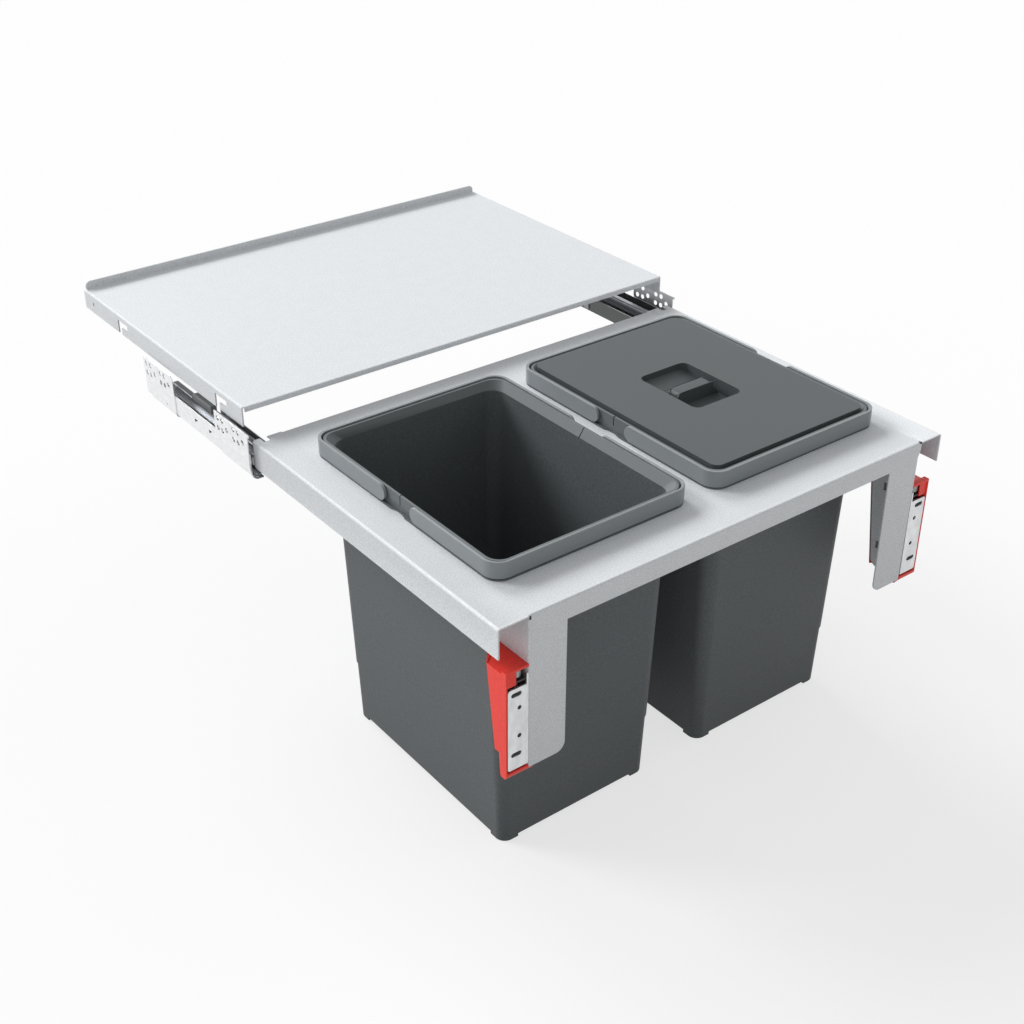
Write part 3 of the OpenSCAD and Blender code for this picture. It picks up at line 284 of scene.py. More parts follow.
# Painted shade: dark steel laid on the cabinet rails' inner faces.
RAIL_SHADE_STEEL = Finish(
    "dull_rail_steel", "runner_steel", (0.135, 0.146, 0.142), 0.5, 0.8,
    grains=(Grain(0.4, 0.10, 0.002, 0.06, (1, 40, 1)), Grain(9, 0.06, 0.0, 0.05)),
)
BALL_STEEL = Finish(
    "polished_ball_steel", "ball_steel", (0.72, 0.73, 0.75), 0.12, 1.0,
    grains=(Grain(0.8, 0.02, 0.0, 0.03),),
)
BIN_GREY = Finish(
    "moulded_bin_plastic", "bin_grey", (0.122, 0.135, 0.142), 0.56, specular=0.3,
    grains=(Grain(1.6, 0.46, 0.012, 0.06), Grain(45, 0.03, 0.0, 0.03), Grain(0.35, 0.0, 0.005)),
)
LID_GREY = Finish(
    "satin_lid_plastic", "lid_grey", (0.086, 0.097, 0.102), 0.5, specular=0.3,
    grains=(Grain(1.2, 0.14, 0.009, 0.05), Grain(30, 0.02, 0.0, 0.03)),
)
RIM_GREY = Finish(
    "satin_rim_plastic", "bin_grey", (0.150, 0.166, 0.173), 0.5, specular=0.3,
    grains=(Grain(0.8, 0.07, 0.009, 0.05), Grain(30, 0.02, 0.0, 0.03)),
)
HANDLE_GREY = Finish(
    "satin_handle_plastic", "lid_grey", (0.262, 0.286, 0.296), 0.46, specular=0.4,
    grains=(Grain(0.8, 0.05, 0.007, 0.05), Grain(24, 0.02, 0.0, 0.03)),
)
# Painted shade: near-black laid in the bins' rim slits.
SLIT_SHADE_PLASTIC = Finish(
    "slit_shade_plastic", "bin_grey", (0.012, 0.013, 0.014), 0.7, specular=0.1,
    grains=(Grain(0.8, 0.10, 0.004),),
)
RED_PLASTIC = Finish(
    "red_moulded_plastic", "red_plastic", (0.96, 0.062, 0.045), 0.36, specular=0.25,
    grains=(Grain(1.5, 0.24, 0.008, 0.05), Grain(12, 0.04)),
)
WHITE_PLASTIC = Finish(
    "white_clip_plastic", "white_plastic", (0.84, 0.84, 0.83), 0.42,
    grains=(Grain(0.9, 0.04, 0.006, 0.05), Grain(8, 0.02)),
)
# The cages' and stop clips' own colour, also laid on the covers' faces beside the legs as painted
# shade.
DARK_PLASTIC = Finish(
    "dark_cage_plastic", "dark_plastic", (0.205, 0.215, 0.222), 0.5,
    grains=(Grain(0.9, 0.07, 0.007, 0.05), Grain(8, 0.03)),
)


# Modelling


class Bench:
    """The modelling bench: selection, edit mode and modifiers, one call each."""

    @staticmethod
    def clear() -> None:
        """Leaves edit mode and deselects every object."""
        if bpy.context.object is not None and bpy.context.object.mode != "OBJECT":
            bpy.ops.object.mode_set(mode="OBJECT")
        bpy.ops.object.select_all(action="DESELECT")

    @staticmethod
    def hold(piece: Piece) -> None:
        """Selects one piece alone and makes it the active one.

        Args:
            piece: the piece.
        """
        Bench.clear()
        piece.select_set(True)
        bpy.context.view_layer.objects.active = piece

    @staticmethod
    @contextmanager
    def editing(piece: Piece) -> Iterator[None]:
        """Edit mode on one piece, with nothing selected to begin with.

        Args:
            piece: the piece to edit.
        """
        Bench.hold(piece)
        bpy.ops.object.mode_set(mode="EDIT")
        bpy.ops.mesh.select_mode(type="VERT")
        bpy.ops.mesh.select_all(action="DESELECT")
        yield
        bpy.ops.object.mode_set(mode="OBJECT")

    @staticmethod
    def pick(piece: Piece, test: Test, part: Part = Part.FACE) -> int:
        """Selects, in edit mode, only the faces or the edges that pass a test.

        Args:
            piece: the piece in edit mode.
            test: which ones.
            part: faces or edges.

        Returns:
            How many are selected.
        """
        bpy.ops.mesh.select_mode(type=part.name)
        mesh = bmesh.from_edit_mesh(piece.data)
        count = 0
        for item in getattr(mesh, part.value):
            if part is Part.FACE:
                middle, way = item.calc_center_median(), item.normal
            else:
                a, b = (point.co for point in item.verts)
                middle, way = (a + b) / 2, (b - a).normalized()
            item.select_set(test(middle / MM, way))
            count += item.select
        mesh.select_flush_mode()
        bmesh.update_edit_mesh(piece.data)
        return count

    @staticmethod
    def shift(piece: Piece, test: Callable[[Vector], bool], by: Point) -> None:
        """Moves the points of a finished mesh that pass a test.

        Args:
            piece: the piece.
            test: is given a point in millimetres.
            by: the way to move them, in millimetres.
        """
        with Bench.editing(piece):
            mesh = bmesh.from_edit_mesh(piece.data)
            count = 0
            for point in mesh.verts:
                point.select_set(test(point.co / MM))
                count += point.select
            mesh.select_flush_mode()
            bmesh.update_edit_mesh(piece.data)
            if count:
                bpy.ops.transform.translate(value=Vector(by) * MM)

    @staticmethod
    def cut(piece: Piece, at: Point, normal: Point) -> None:
        """Draws new edges where a plane crosses a piece.

        Args:
            piece: the piece.
            at: a point of the plane, in millimetres.
            normal: the plane's direction.
        """
        with Bench.editing(piece):
            bpy.ops.mesh.select_all(action="SELECT")
            bpy.ops.mesh.bisect(plane_co=Vector(at) * MM, plane_no=normal)

    @staticmethod
    def draw(by: Point) -> None:
        """Extrudes what is selected in edit mode, by so many millimetres along each axis."""
        way = tuple(step * MM for step in by)
        bpy.ops.mesh.extrude_region_move(TRANSFORM_OT_translate={"value": way})

    @staticmethod
    def place(piece: Piece) -> Piece:
        """Puts a piece's place, turn and size into its mesh.

        Args:
            piece: the piece.

        Returns:
            The same piece, now at the origin.
        """
        Bench.hold(piece)
        bpy.ops.object.transform_apply(location=True, rotation=True, scale=True)
        return piece

    @staticmethod
    def block(name: str, low: Point, high: Point) -> Piece:
        """A block, to be shaped further.

        Args:
            name: the piece's name.
            low: its lowest corner in millimetres.
            high: its highest corner in millimetres.

        Returns:
            The block.
        """
        Bench.clear()
        middle = (Vector(low) + Vector(high)) / 2 * MM
        bpy.ops.mesh.primitive_cube_add(size=1, location=middle)
        piece = bpy.context.object
        piece.name = name
        piece.scale = (Vector(high) - Vector(low)) * MM
        return Bench.place(piece)

    @staticmethod
    def rod(name: str, foot: Point, radius: float, height: float, sides: int) -> Piece:
        """An upright rod, to be shaped further.

        Args:
            name: the piece's name.
            foot: the middle of its lower end in millimetres.
            radius: its radius in millimetres.
            height: its height in millimetres.
            sides: faces round it.

        Returns:
            The rod.
        """
        Bench.clear()
        middle = (Vector(foot) + Vector((0, 0, height / 2))) * MM
        bpy.ops.mesh.primitive_cylinder_add(vertices=sides, radius=radius * MM,
                                            depth=height * MM, location=middle)
        piece = bpy.context.object
        piece.name = name
        return Bench.place(piece)

    @staticmethod
    def join(whole: Piece, *parts: Piece) -> None:
        """Joins parts to a piece, which keeps its name.

        Args:
            whole: the piece that stays.
            parts: the pieces that become part of it.
        """
        Bench.hold(whole)
        for part in parts:
            part.select_set(True)
        bpy.ops.object.join()

    @staticmethod
    def round_edges(piece: Piece, width: float, segments: int, test: Test) -> int:
        """Bevels the edges that pass a test.

        Args:
            piece: the piece.
            width: width of the rounding in millimetres.
            segments: steps across it.
            test: which edges.

        Returns:
            How many edges were rounded.
        """
        with Bench.editing(piece):
            count = Bench.pick(piece, test, Part.EDGE)
            if count:
                bpy.ops.mesh.bevel(offset=width * MM, segments=segments, affect="EDGES")
        return count

    @staticmethod
    def tint(piece: Piece, finish: Finish, test: Test) -> None:
        """Gives some faces of a dressed piece a second finish.

        Args:
            piece: the dressed piece.
            finish: the second finish.
            test: which faces.
        """
        piece.data.materials.append(finish.material())
        last = len(piece.data.materials) - 1
        for face in piece.data.polygons:
            if test(face.center / MM, face.normal):
                face.material_index = last

    @staticmethod
    def modify(piece: Piece, kind: str, **settings: object) -> None:
        """Adds a modifier and applies it.

        Args:
            piece: the piece.
            kind: Blender's name of the modifier.
            settings: its settings by name.
        """
        Bench.hold(piece)
        made = piece.modifiers.new(kind.lower(), kind)
        for key, value in settings.items():
            setattr(made, key, value)
        bpy.ops.object.modifier_apply(modifier=made.name)

    @staticmethod
    def soften(piece: Piece, width: float, segments: int = 2, angle: float = 28.0) -> None:
        """Rounds a piece's sharp edges and evens its shading.

        Args:
            piece: the piece to soften.
            width: width of the rounding in millimetres.
            segments: steps across it.
            angle: the least angle in degrees between faces that counts as an edge.
        """
        Bench.modify(piece, "BEVEL", width=width * MM, segments=segments, limit_method="ANGLE",
                     angle_limit=math.radians(angle), use_clamp_overlap=True,
                     miter_outer="MITER_ARC")
        Bench.hold(piece)
        bpy.ops.object.shade_smooth_by_angle(angle=math.radians(angle))
        Bench.modify(piece, "WEIGHTED_NORMAL", keep_sharp=True)

    @staticmethod
    def recast(node: str, name: str) -> Piece:
        """A copy of a CAD node as one closed mesh of few faces, ready to be worked on.

        Args:
            node: the CAD node.
            name: name of the new piece.

        Returns:
            The new piece, with its own mesh.
        """
        piece = bpy.data.objects.new(name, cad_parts[node].data.copy())
        bpy.context.scene.collection.objects.link(piece)
        piece.data.materials.clear()
        if piece.data.has_custom_normals:
            Bench.hold(piece)
            bpy.ops.mesh.customdata_custom_splitnormals_clear()
        with Bench.editing(piece):
            bpy.ops.mesh.select_all(action="SELECT")
            bpy.ops.mesh.remove_doubles(threshold=MERGE)
            bpy.ops.mesh.dissolve_limited(angle_limit=math.radians(FLAT))
        return piece


@dataclass
class SubAssembly:
    """Pieces that are built and dressed together.

    Attributes:
        pieces: the pieces so far.
    """

    pieces: list[Piece] = field(default_factory=list, init=False)

    def dress(self, piece: Piece, body: str, finish: Finish, *nodes: str) -> Piece:
        """Gives a piece its finish, its body and the nodes it stands for.

        Args:
            piece: the finished mesh.
            body: the CAD body that it rides on.
            finish: its finish.
            nodes: the CAD nodes that it replaces.

        Returns:
            The piece.
        """
        piece.data.materials.clear()
        piece.data.materials.append(finish.material())
        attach(piece, body)
        if nodes:
            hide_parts(*nodes)
        self.pieces.append(piece)
        LOG.info("%s: %d faces on %s", piece.name, len(piece.data.polygons), body)
        return piece

    def refinish(self, node: str, finish: Finish) -> None:
        """Gives a CAD node that stays in view a better material.

        Args:
            node: the CAD node.
            finish: its finish.
        """
        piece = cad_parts[node]
        piece.data.materials.clear()
        piece.data.materials.append(finish.material())
        self.pieces.append(piece)
        LOG.info("%s: CAD node in %s", node, finish.name)

    def soften_node(self, node: str, kind: str, body: str, finish: Finish,
                    width: float) -> Piece:
        """Replaces a CAD node by a softened copy of itself.

        Args:
            node: the CAD node.
            kind: what the piece is called after the node's name.
            body: the CAD body that it rides on.
            finish: its finish.
            width: width of the rounding in millimetres.

        Returns:
            The new piece.
        """
        piece = Bench.recast(node, f"{node}_{kind}")
        Bench.soften(piece, width)
        return self.dress(piece, body, finish, node)


@dataclass
class FixedShelf(SubAssembly):
    """The bent sheet that covers the bins when the frame is shut.

    Attributes:
        edge: rounding of the sheet's cut edges.
    """

    edge: float = 0.3

    def build(self) -> None:
        """Builds the shelf's sheet."""
        self.soften_node("shelf", "sheet", "cabinet", POWDER_COAT, self.edge)


@dataclass
class SlidingFrame(SubAssembly):
    """The bent sheet that carries the bins, with its two legs.

    Attributes:
        edge: rounding of the sheet's cut edges.
        leg_x, leg_foot: the legs' outer faces and lower ends.
        ear_z: foot of the ear on the right leg.
        fold, fold_steps: rounding of the legs' folds, and steps across it.
        front: depth within which a face counts as the frame's front.
        relief_x: from the left leg's outer face to the nick that ends its fold.
        relief_r, relief_z, relief_h, relief_d: half its width, its top, height and depth.
        relief_rim, relief_in: slope round its floor, and depths within which its faces are painted
            dark as shade.
        notch_x, notch_l, notch_d: sides, length and depth of the notch by the right leg.
        notch_rim, notch_z: slope round its floor, and the height its faces lie above.
    """

    edge: float = 0.3
    leg_x: float = 242.0
    leg_foot: float = -159.5
    ear_z: float = -16.0
    fold: float = 2.0
    fold_steps: int = 4
    front: float = 0.5
    relief_x: float = 0.2
    relief_r: float = 1.1
    relief_z: float = -0.9
    relief_h: float = 3.6
    relief_d: float = 1.2
    relief_rim: float = 0.2
    relief_in: tuple[float, float] = (0.1, 1.3)
    notch_x: tuple[float, float] = (242.6, 245.2)
    notch_l: float = 3.0
    notch_d: float = 1.1
    notch_rim: float = 0.15
    notch_z: float = -1.45

    def on_fold(self, middle: Vector, way: Vector) -> bool:
        """Whether an edge is the outer corner of a leg's fold.

        Args:
            middle: the edge's middle in millimetres.
            way: its direction.

        Returns:
            True if it is.
        """
        top = self.ear_z if middle.x > 0 else 0
        return (abs(abs(middle.x) - self.leg_x) < NEAR and abs(middle.y + TRAVEL) < NEAR
                and abs(way.z) > ALONG and self.leg_foot <= middle.z <= top)

    def press_relief(self, sheet: Piece) -> None:
        """Presses the nick where the left leg's fold meets the frame's plate.

        Args:
            sheet: the frame's sheet.
        """
        left = -self.leg_x + self.relief_x
        right = left + 2 * self.relief_r
        top, low = self.relief_z, self.relief_z - self.relief_h
        for x in (left, right):
            Bench.cut(sheet, (x, 0, 0), (1, 0, 0))
        for z in (top, low):
            Bench.cut(sheet, (0, 0, z), (0, 0, 1))
        with Bench.editing(sheet):
            Bench.pick(sheet, lambda at, way: (
                left < at.x < right and low < at.z < top and at.y < self.front - TRAVEL))
            bpy.ops.mesh.inset(thickness=self.relief_rim * MM)
            Bench.draw((0, self.relief_d, 0))

    def in_relief(self, at: Vector, way: Vector) -> bool:
        """Whether a face lies in the nick of the left leg's fold.

        Args:
            at: the face's centre in millimetres.
            way: its normal.

        Returns:
            True if it does.
        """
        out, rise = self.relief_r, self.relief_h / 2
        return (abs(at.x + self.leg_x - self.relief_x - out) < out
                and abs(at.z - self.relief_z + rise) < rise
                and self.relief_in[0] < at.y + TRAVEL < self.relief_in[1])

    def in_notch(self, at: Vector, way: Vector) -> bool:
        """Whether a face lies in the notch beside the right leg."""
        return (self.notch_x[0] < at.x < self.notch_x[1] and at.y + TRAVEL < self.notch_l
                and at.z > self.notch_z)

    def press_notch(self, sheet: Piece) -> None:
        """Presses the notch where the right leg's fold ends at the plate's edge.

        Args:
            sheet: the frame's sheet.
        """
        for x in self.notch_x:
            Bench.cut(sheet, (x, 0, 0), (1, 0, 0))
        Bench.cut(sheet, (0, self.notch_l - TRAVEL, 0), (0, 1, 0))
        with Bench.editing(sheet):
            Bench.pick(sheet, lambda at, way: self.in_notch(at, way) and way.z > FACING)
            bpy.ops.mesh.inset(thickness=self.notch_rim * MM)
            Bench.draw((0, 0, -self.notch_d))

    def build(self) -> None:
        """Builds the frame's sheet."""
        sheet = Bench.recast("bin_frame", "bin_frame_sheet")
        Bench.round_edges(sheet, self.fold, self.fold_steps, self.on_fold)
        Bench.soften(sheet, self.edge)
        self.press_relief(sheet)
        self.press_notch(sheet)
        self.dress(sheet, "carriage", POWDER_COAT, "bin_frame")
        # Paints the faces of the nick and the notch dark as shade.
        for opening in (self.in_notch, self.in_relief):
            Bench.tint(sheet, PAINTED_SHADE_STEEL, opening)


@dataclass
class Runner(SubAssembly):
    """One telescopic ball-bearing runner with its brackets.

    Attributes:
        side: which side of the cabinet it is on.
        edge: rounding of the steel's edges.
        clip_edge: rounding of the rail clip.
        stop_edge: rounding of the stop clip.
        inward: how far a normal leans to the cabinet's middle on an inner face.
    """

    side: Side = Side.LEFT
    edge: float = 0.2
    clip_edge: float = 0.35
    stop_edge: float = 0.6
    inward: float = 0.5

    def is_inner(self, at: Vector, way: Vector) -> bool:
        """Whether a face looks towards the middle of the cabinet."""
        return self.side.value * way.x < -self.inward

    def build(self) -> None:
        """Builds the runner's rails, brackets, clips, cages and balls."""
        word = self.side.word
        middle = f"{word}_middle"
        rail = self.soften_node(f"{word}_cabinet_rail", "section", "cabinet", ZINC, self.edge)
        # Paints shade on the rail's inner faces.
        Bench.tint(rail, RAIL_SHADE_STEEL, self.is_inner)
        for end in End:
            bracket = self.soften_node(f"{word}_{end.word}_bracket", "pressing", "cabinet",
                                       ZINC, self.edge)
            # Paints shade on the bracket's inner faces with the runner steel.
            Bench.tint(bracket, RUNNER_STEEL, self.is_inner)
        self.soften_node(f"{word}_rail_clip", "moulding", "cabinet", WHITE_PLASTIC,
                         self.clip_edge)
        self.soften_node(f"{word}_middle_rail", "section", middle, RUNNER_STEEL, self.edge)
        self.soften_node(f"{word}_stop_clip", "moulding", middle, DARK_PLASTIC, self.stop_edge)
        self.soften_node(f"{word}_drawer_rail", "section", "carriage", RUNNER_STEEL, self.edge)
        for level in ("lower", "upper"):
            self.refinish(f"{word}_{level}_cage", DARK_PLASTIC)
            self.refinish(f"{word}_{level}_balls", BALL_STEEL)


@dataclass
class DoorAdjuster(SubAssembly):
    """A height-adjustable door bracket with its wheel, under its red cover.

    Places across and in depth are counted out from the leg's outer face and back from the
    frame's front.

    Attributes:
        side: which leg it sits on.
        leg_x: place of the leg's outer face.
        cover_w, cover_top, cover_foot: the cover's width, top and lip's foot.
        cover_edge: rounding of its edges.
        ledge: width of the level ledge round the top's facet.
        facet_gap: from the ledge to the facet's bend.
        facet_x, facet_z: how near the outer side and the top the points that fall lie.
        facet_drop: how far they fall.
        tip_h, tip_y: height and depth of the lip's tip.
        tip_l, tip_drop: how far it reaches under the leg, and down.
        latch_x: how far inside the leg's face the latches' tips begin.
        latch_y, latch_z: depths between which they lie, and the height they stay under.
        latch_pull: how far they are drawn back.
        seat_x, seat_lean: width of the painted shade on the cover's faces by the leg, and how far
            those faces turn to the leg.
        rib_x, rib_y, rib_z: the inner rib's sides, faces and foot.
        rib_gap: from the cover's top to the rib.
        rib_toe, rib_taper: height of its toe, and its share of the rib's width and depth.
        wheel_r, wheel_top, wheel_h: the wheel's radius, top and height.
        wheel_edge, wheel_foot: rounding of its edges, and the height up to which its lower end and
            the screw under it are painted dark as shade.
        grooves, groove: number and depth of its grooves.
        groove_rim, groove_turn: slope round each, and the first one's angle in degrees.
        axis_x, axis_y: place of the wheel's axis.
        screw_r, screw_l, screw_sides: the screw's radius, length and faces round it.
        collar_l, collar_h: its collar's length, without and with what the wheel hides.
        thread, root: the thread's pitch, and the share of the radius left at its root.
        spigot_r, spigot_h: radius and height of the pin on the wheel's top.
        strip_x, strip_y, strip_z: sides, faces and ends of the strip behind the slots.
        strip_rim, strip_d: slope round its raised back, and how far that is raised.
        strip_edge, plate_edge: rounding of the strip, and of the door plate and its pins.
        lug_x, lug_y, lug_z: where the plate's lug, painted dark as shade, lies across, in depth
            and in height.
    """

    side: Side = Side.LEFT
    leg_x: float = 242.0
    cover_w: float = 24.0
    cover_top: float = -48.3
    cover_foot: float = -162.0
    cover_edge: float = 0.35
    ledge: float = 6.0
    facet_gap: float = 0.6
    facet_x: float = 1.6
    facet_z: float = 2.6
    facet_drop: float = 2.6
    tip_h: float = 2.1
    tip_y: float = 9.0
    tip_l: float = 5.5
    tip_drop: float = 0.9
    latch_x: float = 1.2
    latch_y: tuple[float, float] = (27.0, 35.0)
    latch_z: float = -55.0
    latch_pull: float = 1.1
    seat_x: float = 0.4
    seat_lean: float = 0.7
    rib_x: tuple[float, float] = (12.6, 22.8)
    rib_y: tuple[float, float] = (1.0, 2.1)
    rib_z: float = -64.4
    rib_gap: float = 2.0
    rib_toe: float = 1.0
    rib_taper: tuple[float, float] = (0.96, 0.5)
    wheel_r: float = 5.0
    wheel_top: float = -51.0
    wheel_h: float = 8.6
    wheel_edge: float = 0.06
    wheel_foot: float = 0.2
    grooves: int = 18
    groove: float = 0.45
    groove_rim: float = 0.1
    groove_turn: float = 5.0
    axis_x: float = 9.0
    axis_y: float = 7.5
    screw_r: float = 2.5
    screw_l: float = 16.0
    screw_sides: int = 32
    collar_l: float = 0.5
    collar_h: float = 0.7
    thread: float = 1.0
    root: float = 0.86
    spigot_r: float = 2.0
    spigot_h: float = 1.3
    strip_x: tuple[float, float] = (3.0, 20.5)
    strip_y: tuple[float, float] = (2.1, 2.9)
    strip_z: tuple[float, float] = (-150.0, -71.0)
    strip_rim: float = 3.0
    strip_d: float = 0.9
    strip_edge: float = 0.2
    plate_edge: float = 0.25
    lug_x: float = 2.1
    lug_y: float = 1.6
    lug_z: tuple[float, float] = (-66.5, -62.0)

    def x(self, out: float) -> float:
        """The place that lies so far out from the leg's outer face."""
        return self.side.value * (self.leg_x + out)

    def corners(self, outs: Point, depths: Point, heights: Point) -> tuple[Point, Point]:
        """The lowest and highest corners of a block beside the leg.

        Args:
            outs: its sides.
            depths: its front and rear faces.
            heights: its lower and upper ends.

        Returns:
            Both corners in millimetres.
        """
        sides = sorted(self.x(out) for out in outs)
        low, high = ((side, depth - TRAVEL, height)
                     for side, depth, height in zip(sides, depths, heights))
        return low, high

    def axis_at(self, height: float) -> Vector:
        """The point of the wheel's axis at a height."""
        return Vector((self.x(self.axis_x), self.axis_y - TRAVEL, height))

    def shape_facet(self, cover: Piece) -> None:
        """Slopes the top outward, inside a level ledge along the leg and the front.

        Args:
            cover: the cover's moulding.
        """
        bend = self.ledge - TRAVEL + self.facet_gap
        outer = self.leg_x + self.cover_w
        Bench.cut(cover, (0, bend, 0), (0, 1, 0))
        Bench.shift(cover, lambda at: (
            abs(at.x) > outer - self.facet_x and at.y > bend - NEAR
            and at.z > self.cover_top - self.facet_z), (0, 0, -self.facet_drop))

    def shape_tip(self, cover: Piece) -> None:
        """Draws the lip's foot on under the leg's corner.

        Args:
            cover: the cover's moulding.
        """
        level = self.cover_foot + self.tip_h
        Bench.cut(cover, (0, 0, level), (0, 0, 1))
        with Bench.editing(cover):
            found = Bench.pick(cover, lambda at, way: (
                abs(abs(at.x) - self.leg_x) < 2 * NEAR and at.z < level
                and abs(way.x) > ALONG and at.y < self.tip_y - TRAVEL))
            if found:
                Bench.draw((-self.side.value * self.tip_l, 0, 0))
                bpy.ops.transform.translate(value=(0, 0, -self.tip_drop * MM))

    def pull_latches(self, cover: Piece) -> None:
        """Draws the latches' tips back into the slots of the leg.

        Args:
            cover: the cover's moulding.
        """
        front, rear = (depth - TRAVEL for depth in self.latch_y)
        Bench.shift(cover, lambda at: (
            abs(at.x) < self.leg_x - self.latch_x and front < at.y < rear
            and at.z < self.latch_z), (self.side.value * self.latch_pull, 0, 0))

    def build_rib(self) -> Piece:
        """The cover's inner rib beside the wheel.

        Returns:
            The rib, to be joined to the cover.
        """
        rib = Bench.block("rib", *self.corners(
            self.rib_x, self.rib_y, (self.rib_z, self.cover_top - self.rib_gap)))
        with Bench.editing(rib):
            Bench.pick(rib, lambda at, way: way.z < -FACING)
            Bench.draw((0, 0, -self.rib_toe))
            bpy.ops.transform.resize(value=(*self.rib_taper, 1))
        return rib

    def build_cover(self) -> None:
        """Builds the red cover."""
        node = f"{self.side.word}_adjuster_cover"
        cover = Bench.recast(node, f"{node}_moulding")
        self.shape_facet(cover)
        self.shape_tip(cover)
        self.pull_latches(cover)
        Bench.join(cover, self.build_rib())
        Bench.soften(cover, self.cover_edge)
        self.dress(cover, "carriage", RED_PLASTIC, node)
        # Paints shade on the cover's faces beside the leg.
        Bench.tint(cover, DARK_PLASTIC, lambda at, way: (
            abs(at.x) < self.leg_x + self.seat_x and at.y + TRAVEL > self.latch_y[0]
            and self.side.value * way.x < -self.seat_lean))

    def build_screw(self) -> Piece:
        """The threaded rod below the wheel, drawn down ridge by ridge.

        Returns:
            The screw, to be joined to the wheel.
        """
        foot = self.axis_at(self.wheel_top - self.wheel_h - self.collar_l)
        screw = Bench.rod("screw", foot, self.screw_r, self.collar_h, self.screw_sides)
        with Bench.editing(screw):
            Bench.pick(screw, lambda at, way: way.z < -FACING)
            for step in range(round(2 * (self.screw_l - self.collar_l) / self.thread)):
                Bench.draw((0, 0, -self.thread / 2))
                size = self.root if step % 2 == 0 else 1 / self.root
                bpy.ops.transform.resize(value=(size, size, 1))
        return screw

    def build_wheel(self) -> None:
        """Builds the grooved wheel with its screw and its top pin."""
        node, low = f"{self.side.word}_adjusting_wheel", self.wheel_top - self.wheel_h
        axis = self.axis_at(low)
        step = 180 / self.grooves

        def in_groove(at: Vector, way: Vector) -> bool:
            """Whether a face of the plain wheel becomes a groove."""
            turn = math.degrees(math.atan2(at.y - axis.y, at.x - axis.x))
            return abs(way.z) < ASIDE and round((turn - self.groove_turn) / step) % 2 == 0

        wheel = Bench.rod(f"{node}_turned", axis, self.wheel_r, self.wheel_h, 2 * self.grooves)
        with Bench.editing(wheel):
            Bench.pick(wheel, in_groove)
            bpy.ops.mesh.inset(thickness=self.groove_rim * MM, use_individual=True)
            bpy.ops.transform.shrink_fatten(value=-self.groove * MM)
            Bench.pick(wheel, lambda at, way: (
                way.z > FACING and at.z > self.wheel_top - NEAR))
            bpy.ops.mesh.inset(thickness=(self.wheel_r - self.spigot_r) * MM)
            Bench.draw((0, 0, self.spigot_h))
        Bench.join(wheel, self.build_screw())
        Bench.soften(wheel, self.wheel_edge, 1)
        self.dress(wheel, f"{self.side.word}_wheel", TURNED_ZINC, node)
        # Paints the wheel's lower end and the screw dark as shade.
        Bench.tint(wheel, PAINTED_SHADE_STEEL, lambda at, way: at.z < low + self.wheel_foot)

    def build_backing(self) -> None:
        """Builds a dark strip behind the door plate's slots: painted shade seen through them."""
        word = self.side.word
        strip = Bench.block(f"{word}_door_plate_backing", *self.corners(
            self.strip_x, self.strip_y, self.strip_z))
        with Bench.editing(strip):
            Bench.pick(strip, lambda at, way: way.y > FACING)
            bpy.ops.mesh.inset(thickness=self.strip_rim * MM)
            Bench.draw((0, self.strip_d, 0))
        Bench.soften(strip, self.strip_edge)
        self.dress(strip, f"{word}_door_bracket", PAINTED_SHADE_STEEL)

    def build_plate(self) -> None:
        """Builds the door plate, its lug painted dark as shade, and its guide pins."""
        word = self.side.word
        body = f"{word}_door_bracket"
        plate = self.soften_node(f"{word}_door_plate", "pressing", body, MOTTLED_ZINC,
                                 self.plate_edge)
        # Paints the lug dark as shade.
        Bench.tint(plate, PAINTED_SHADE_STEEL, lambda at, way: (
            at.y + TRAVEL > self.lug_y and self.lug_z[0] < at.z < self.lug_z[1]
            and abs(at.x) > self.leg_x + self.lug_x))
        self.build_backing()
        self.soften_node(f"{word}_guide_pins", "turned", body, TURNED_ZINC, self.plate_edge)

    def build(self) -> None:
        """Builds the door plate, its pins, the wheel and the cover."""
        self.build_plate()
        self.build_wheel()
        self.build_cover()


@dataclass
class WasteBin(SubAssembly):
    """One tapered bin with its two swinging handles.

    Attributes:
        side: which bin it is.
        rim_edge: rounding of the rim's edges.
        handle_edge, handle_steps: rounding of the handles' edges, and steps across it.
        funnel_z: height where the slope inside the rim meets the body.
        slit_y, slit_r: place of the rim's slits, and how near it their faces lie.
        slit_drop, slit_lean: how far below the slope they begin, and face along Y.
    """

    side: Side = Side.LEFT
    rim_edge: float = 0.5
    handle_edge: float = 1.25
    handle_steps: int = 4
    funnel_z: float = 9.0
    slit_y: float = -182.4
    slit_r: float = 0.8
    slit_drop: float = 2.0
    slit_lean: float = 0.3

    def build(self) -> None:
        """Builds the bin's shell and its handles."""
        word = self.side.word
        shell = self.soften_node(f"{word}_bin", "moulding", f"{word}_waste_bin", BIN_GREY,
                                 self.rim_edge)
        Bench.tint(shell, RIM_GREY, lambda at, way: at.z > self.funnel_z - 2 * NEAR)
        # Paints shade in the rim's slits.
        Bench.tint(shell, SLIT_SHADE_PLASTIC, lambda at, way: (
            abs(at.y - self.slit_y) < self.slit_r and at.z > self.funnel_z - self.slit_drop
            and abs(way.y) > self.slit_lean))
        for end in End:
            part = f"{word}_{end.word}"
            handle = Bench.recast(f"{part}_handle", f"{part}_handle_strap")
            Bench.soften(handle, self.handle_edge, self.handle_steps)
            self.dress(handle, f"{part}_bail", HANDLE_GREY, f"{part}_handle")


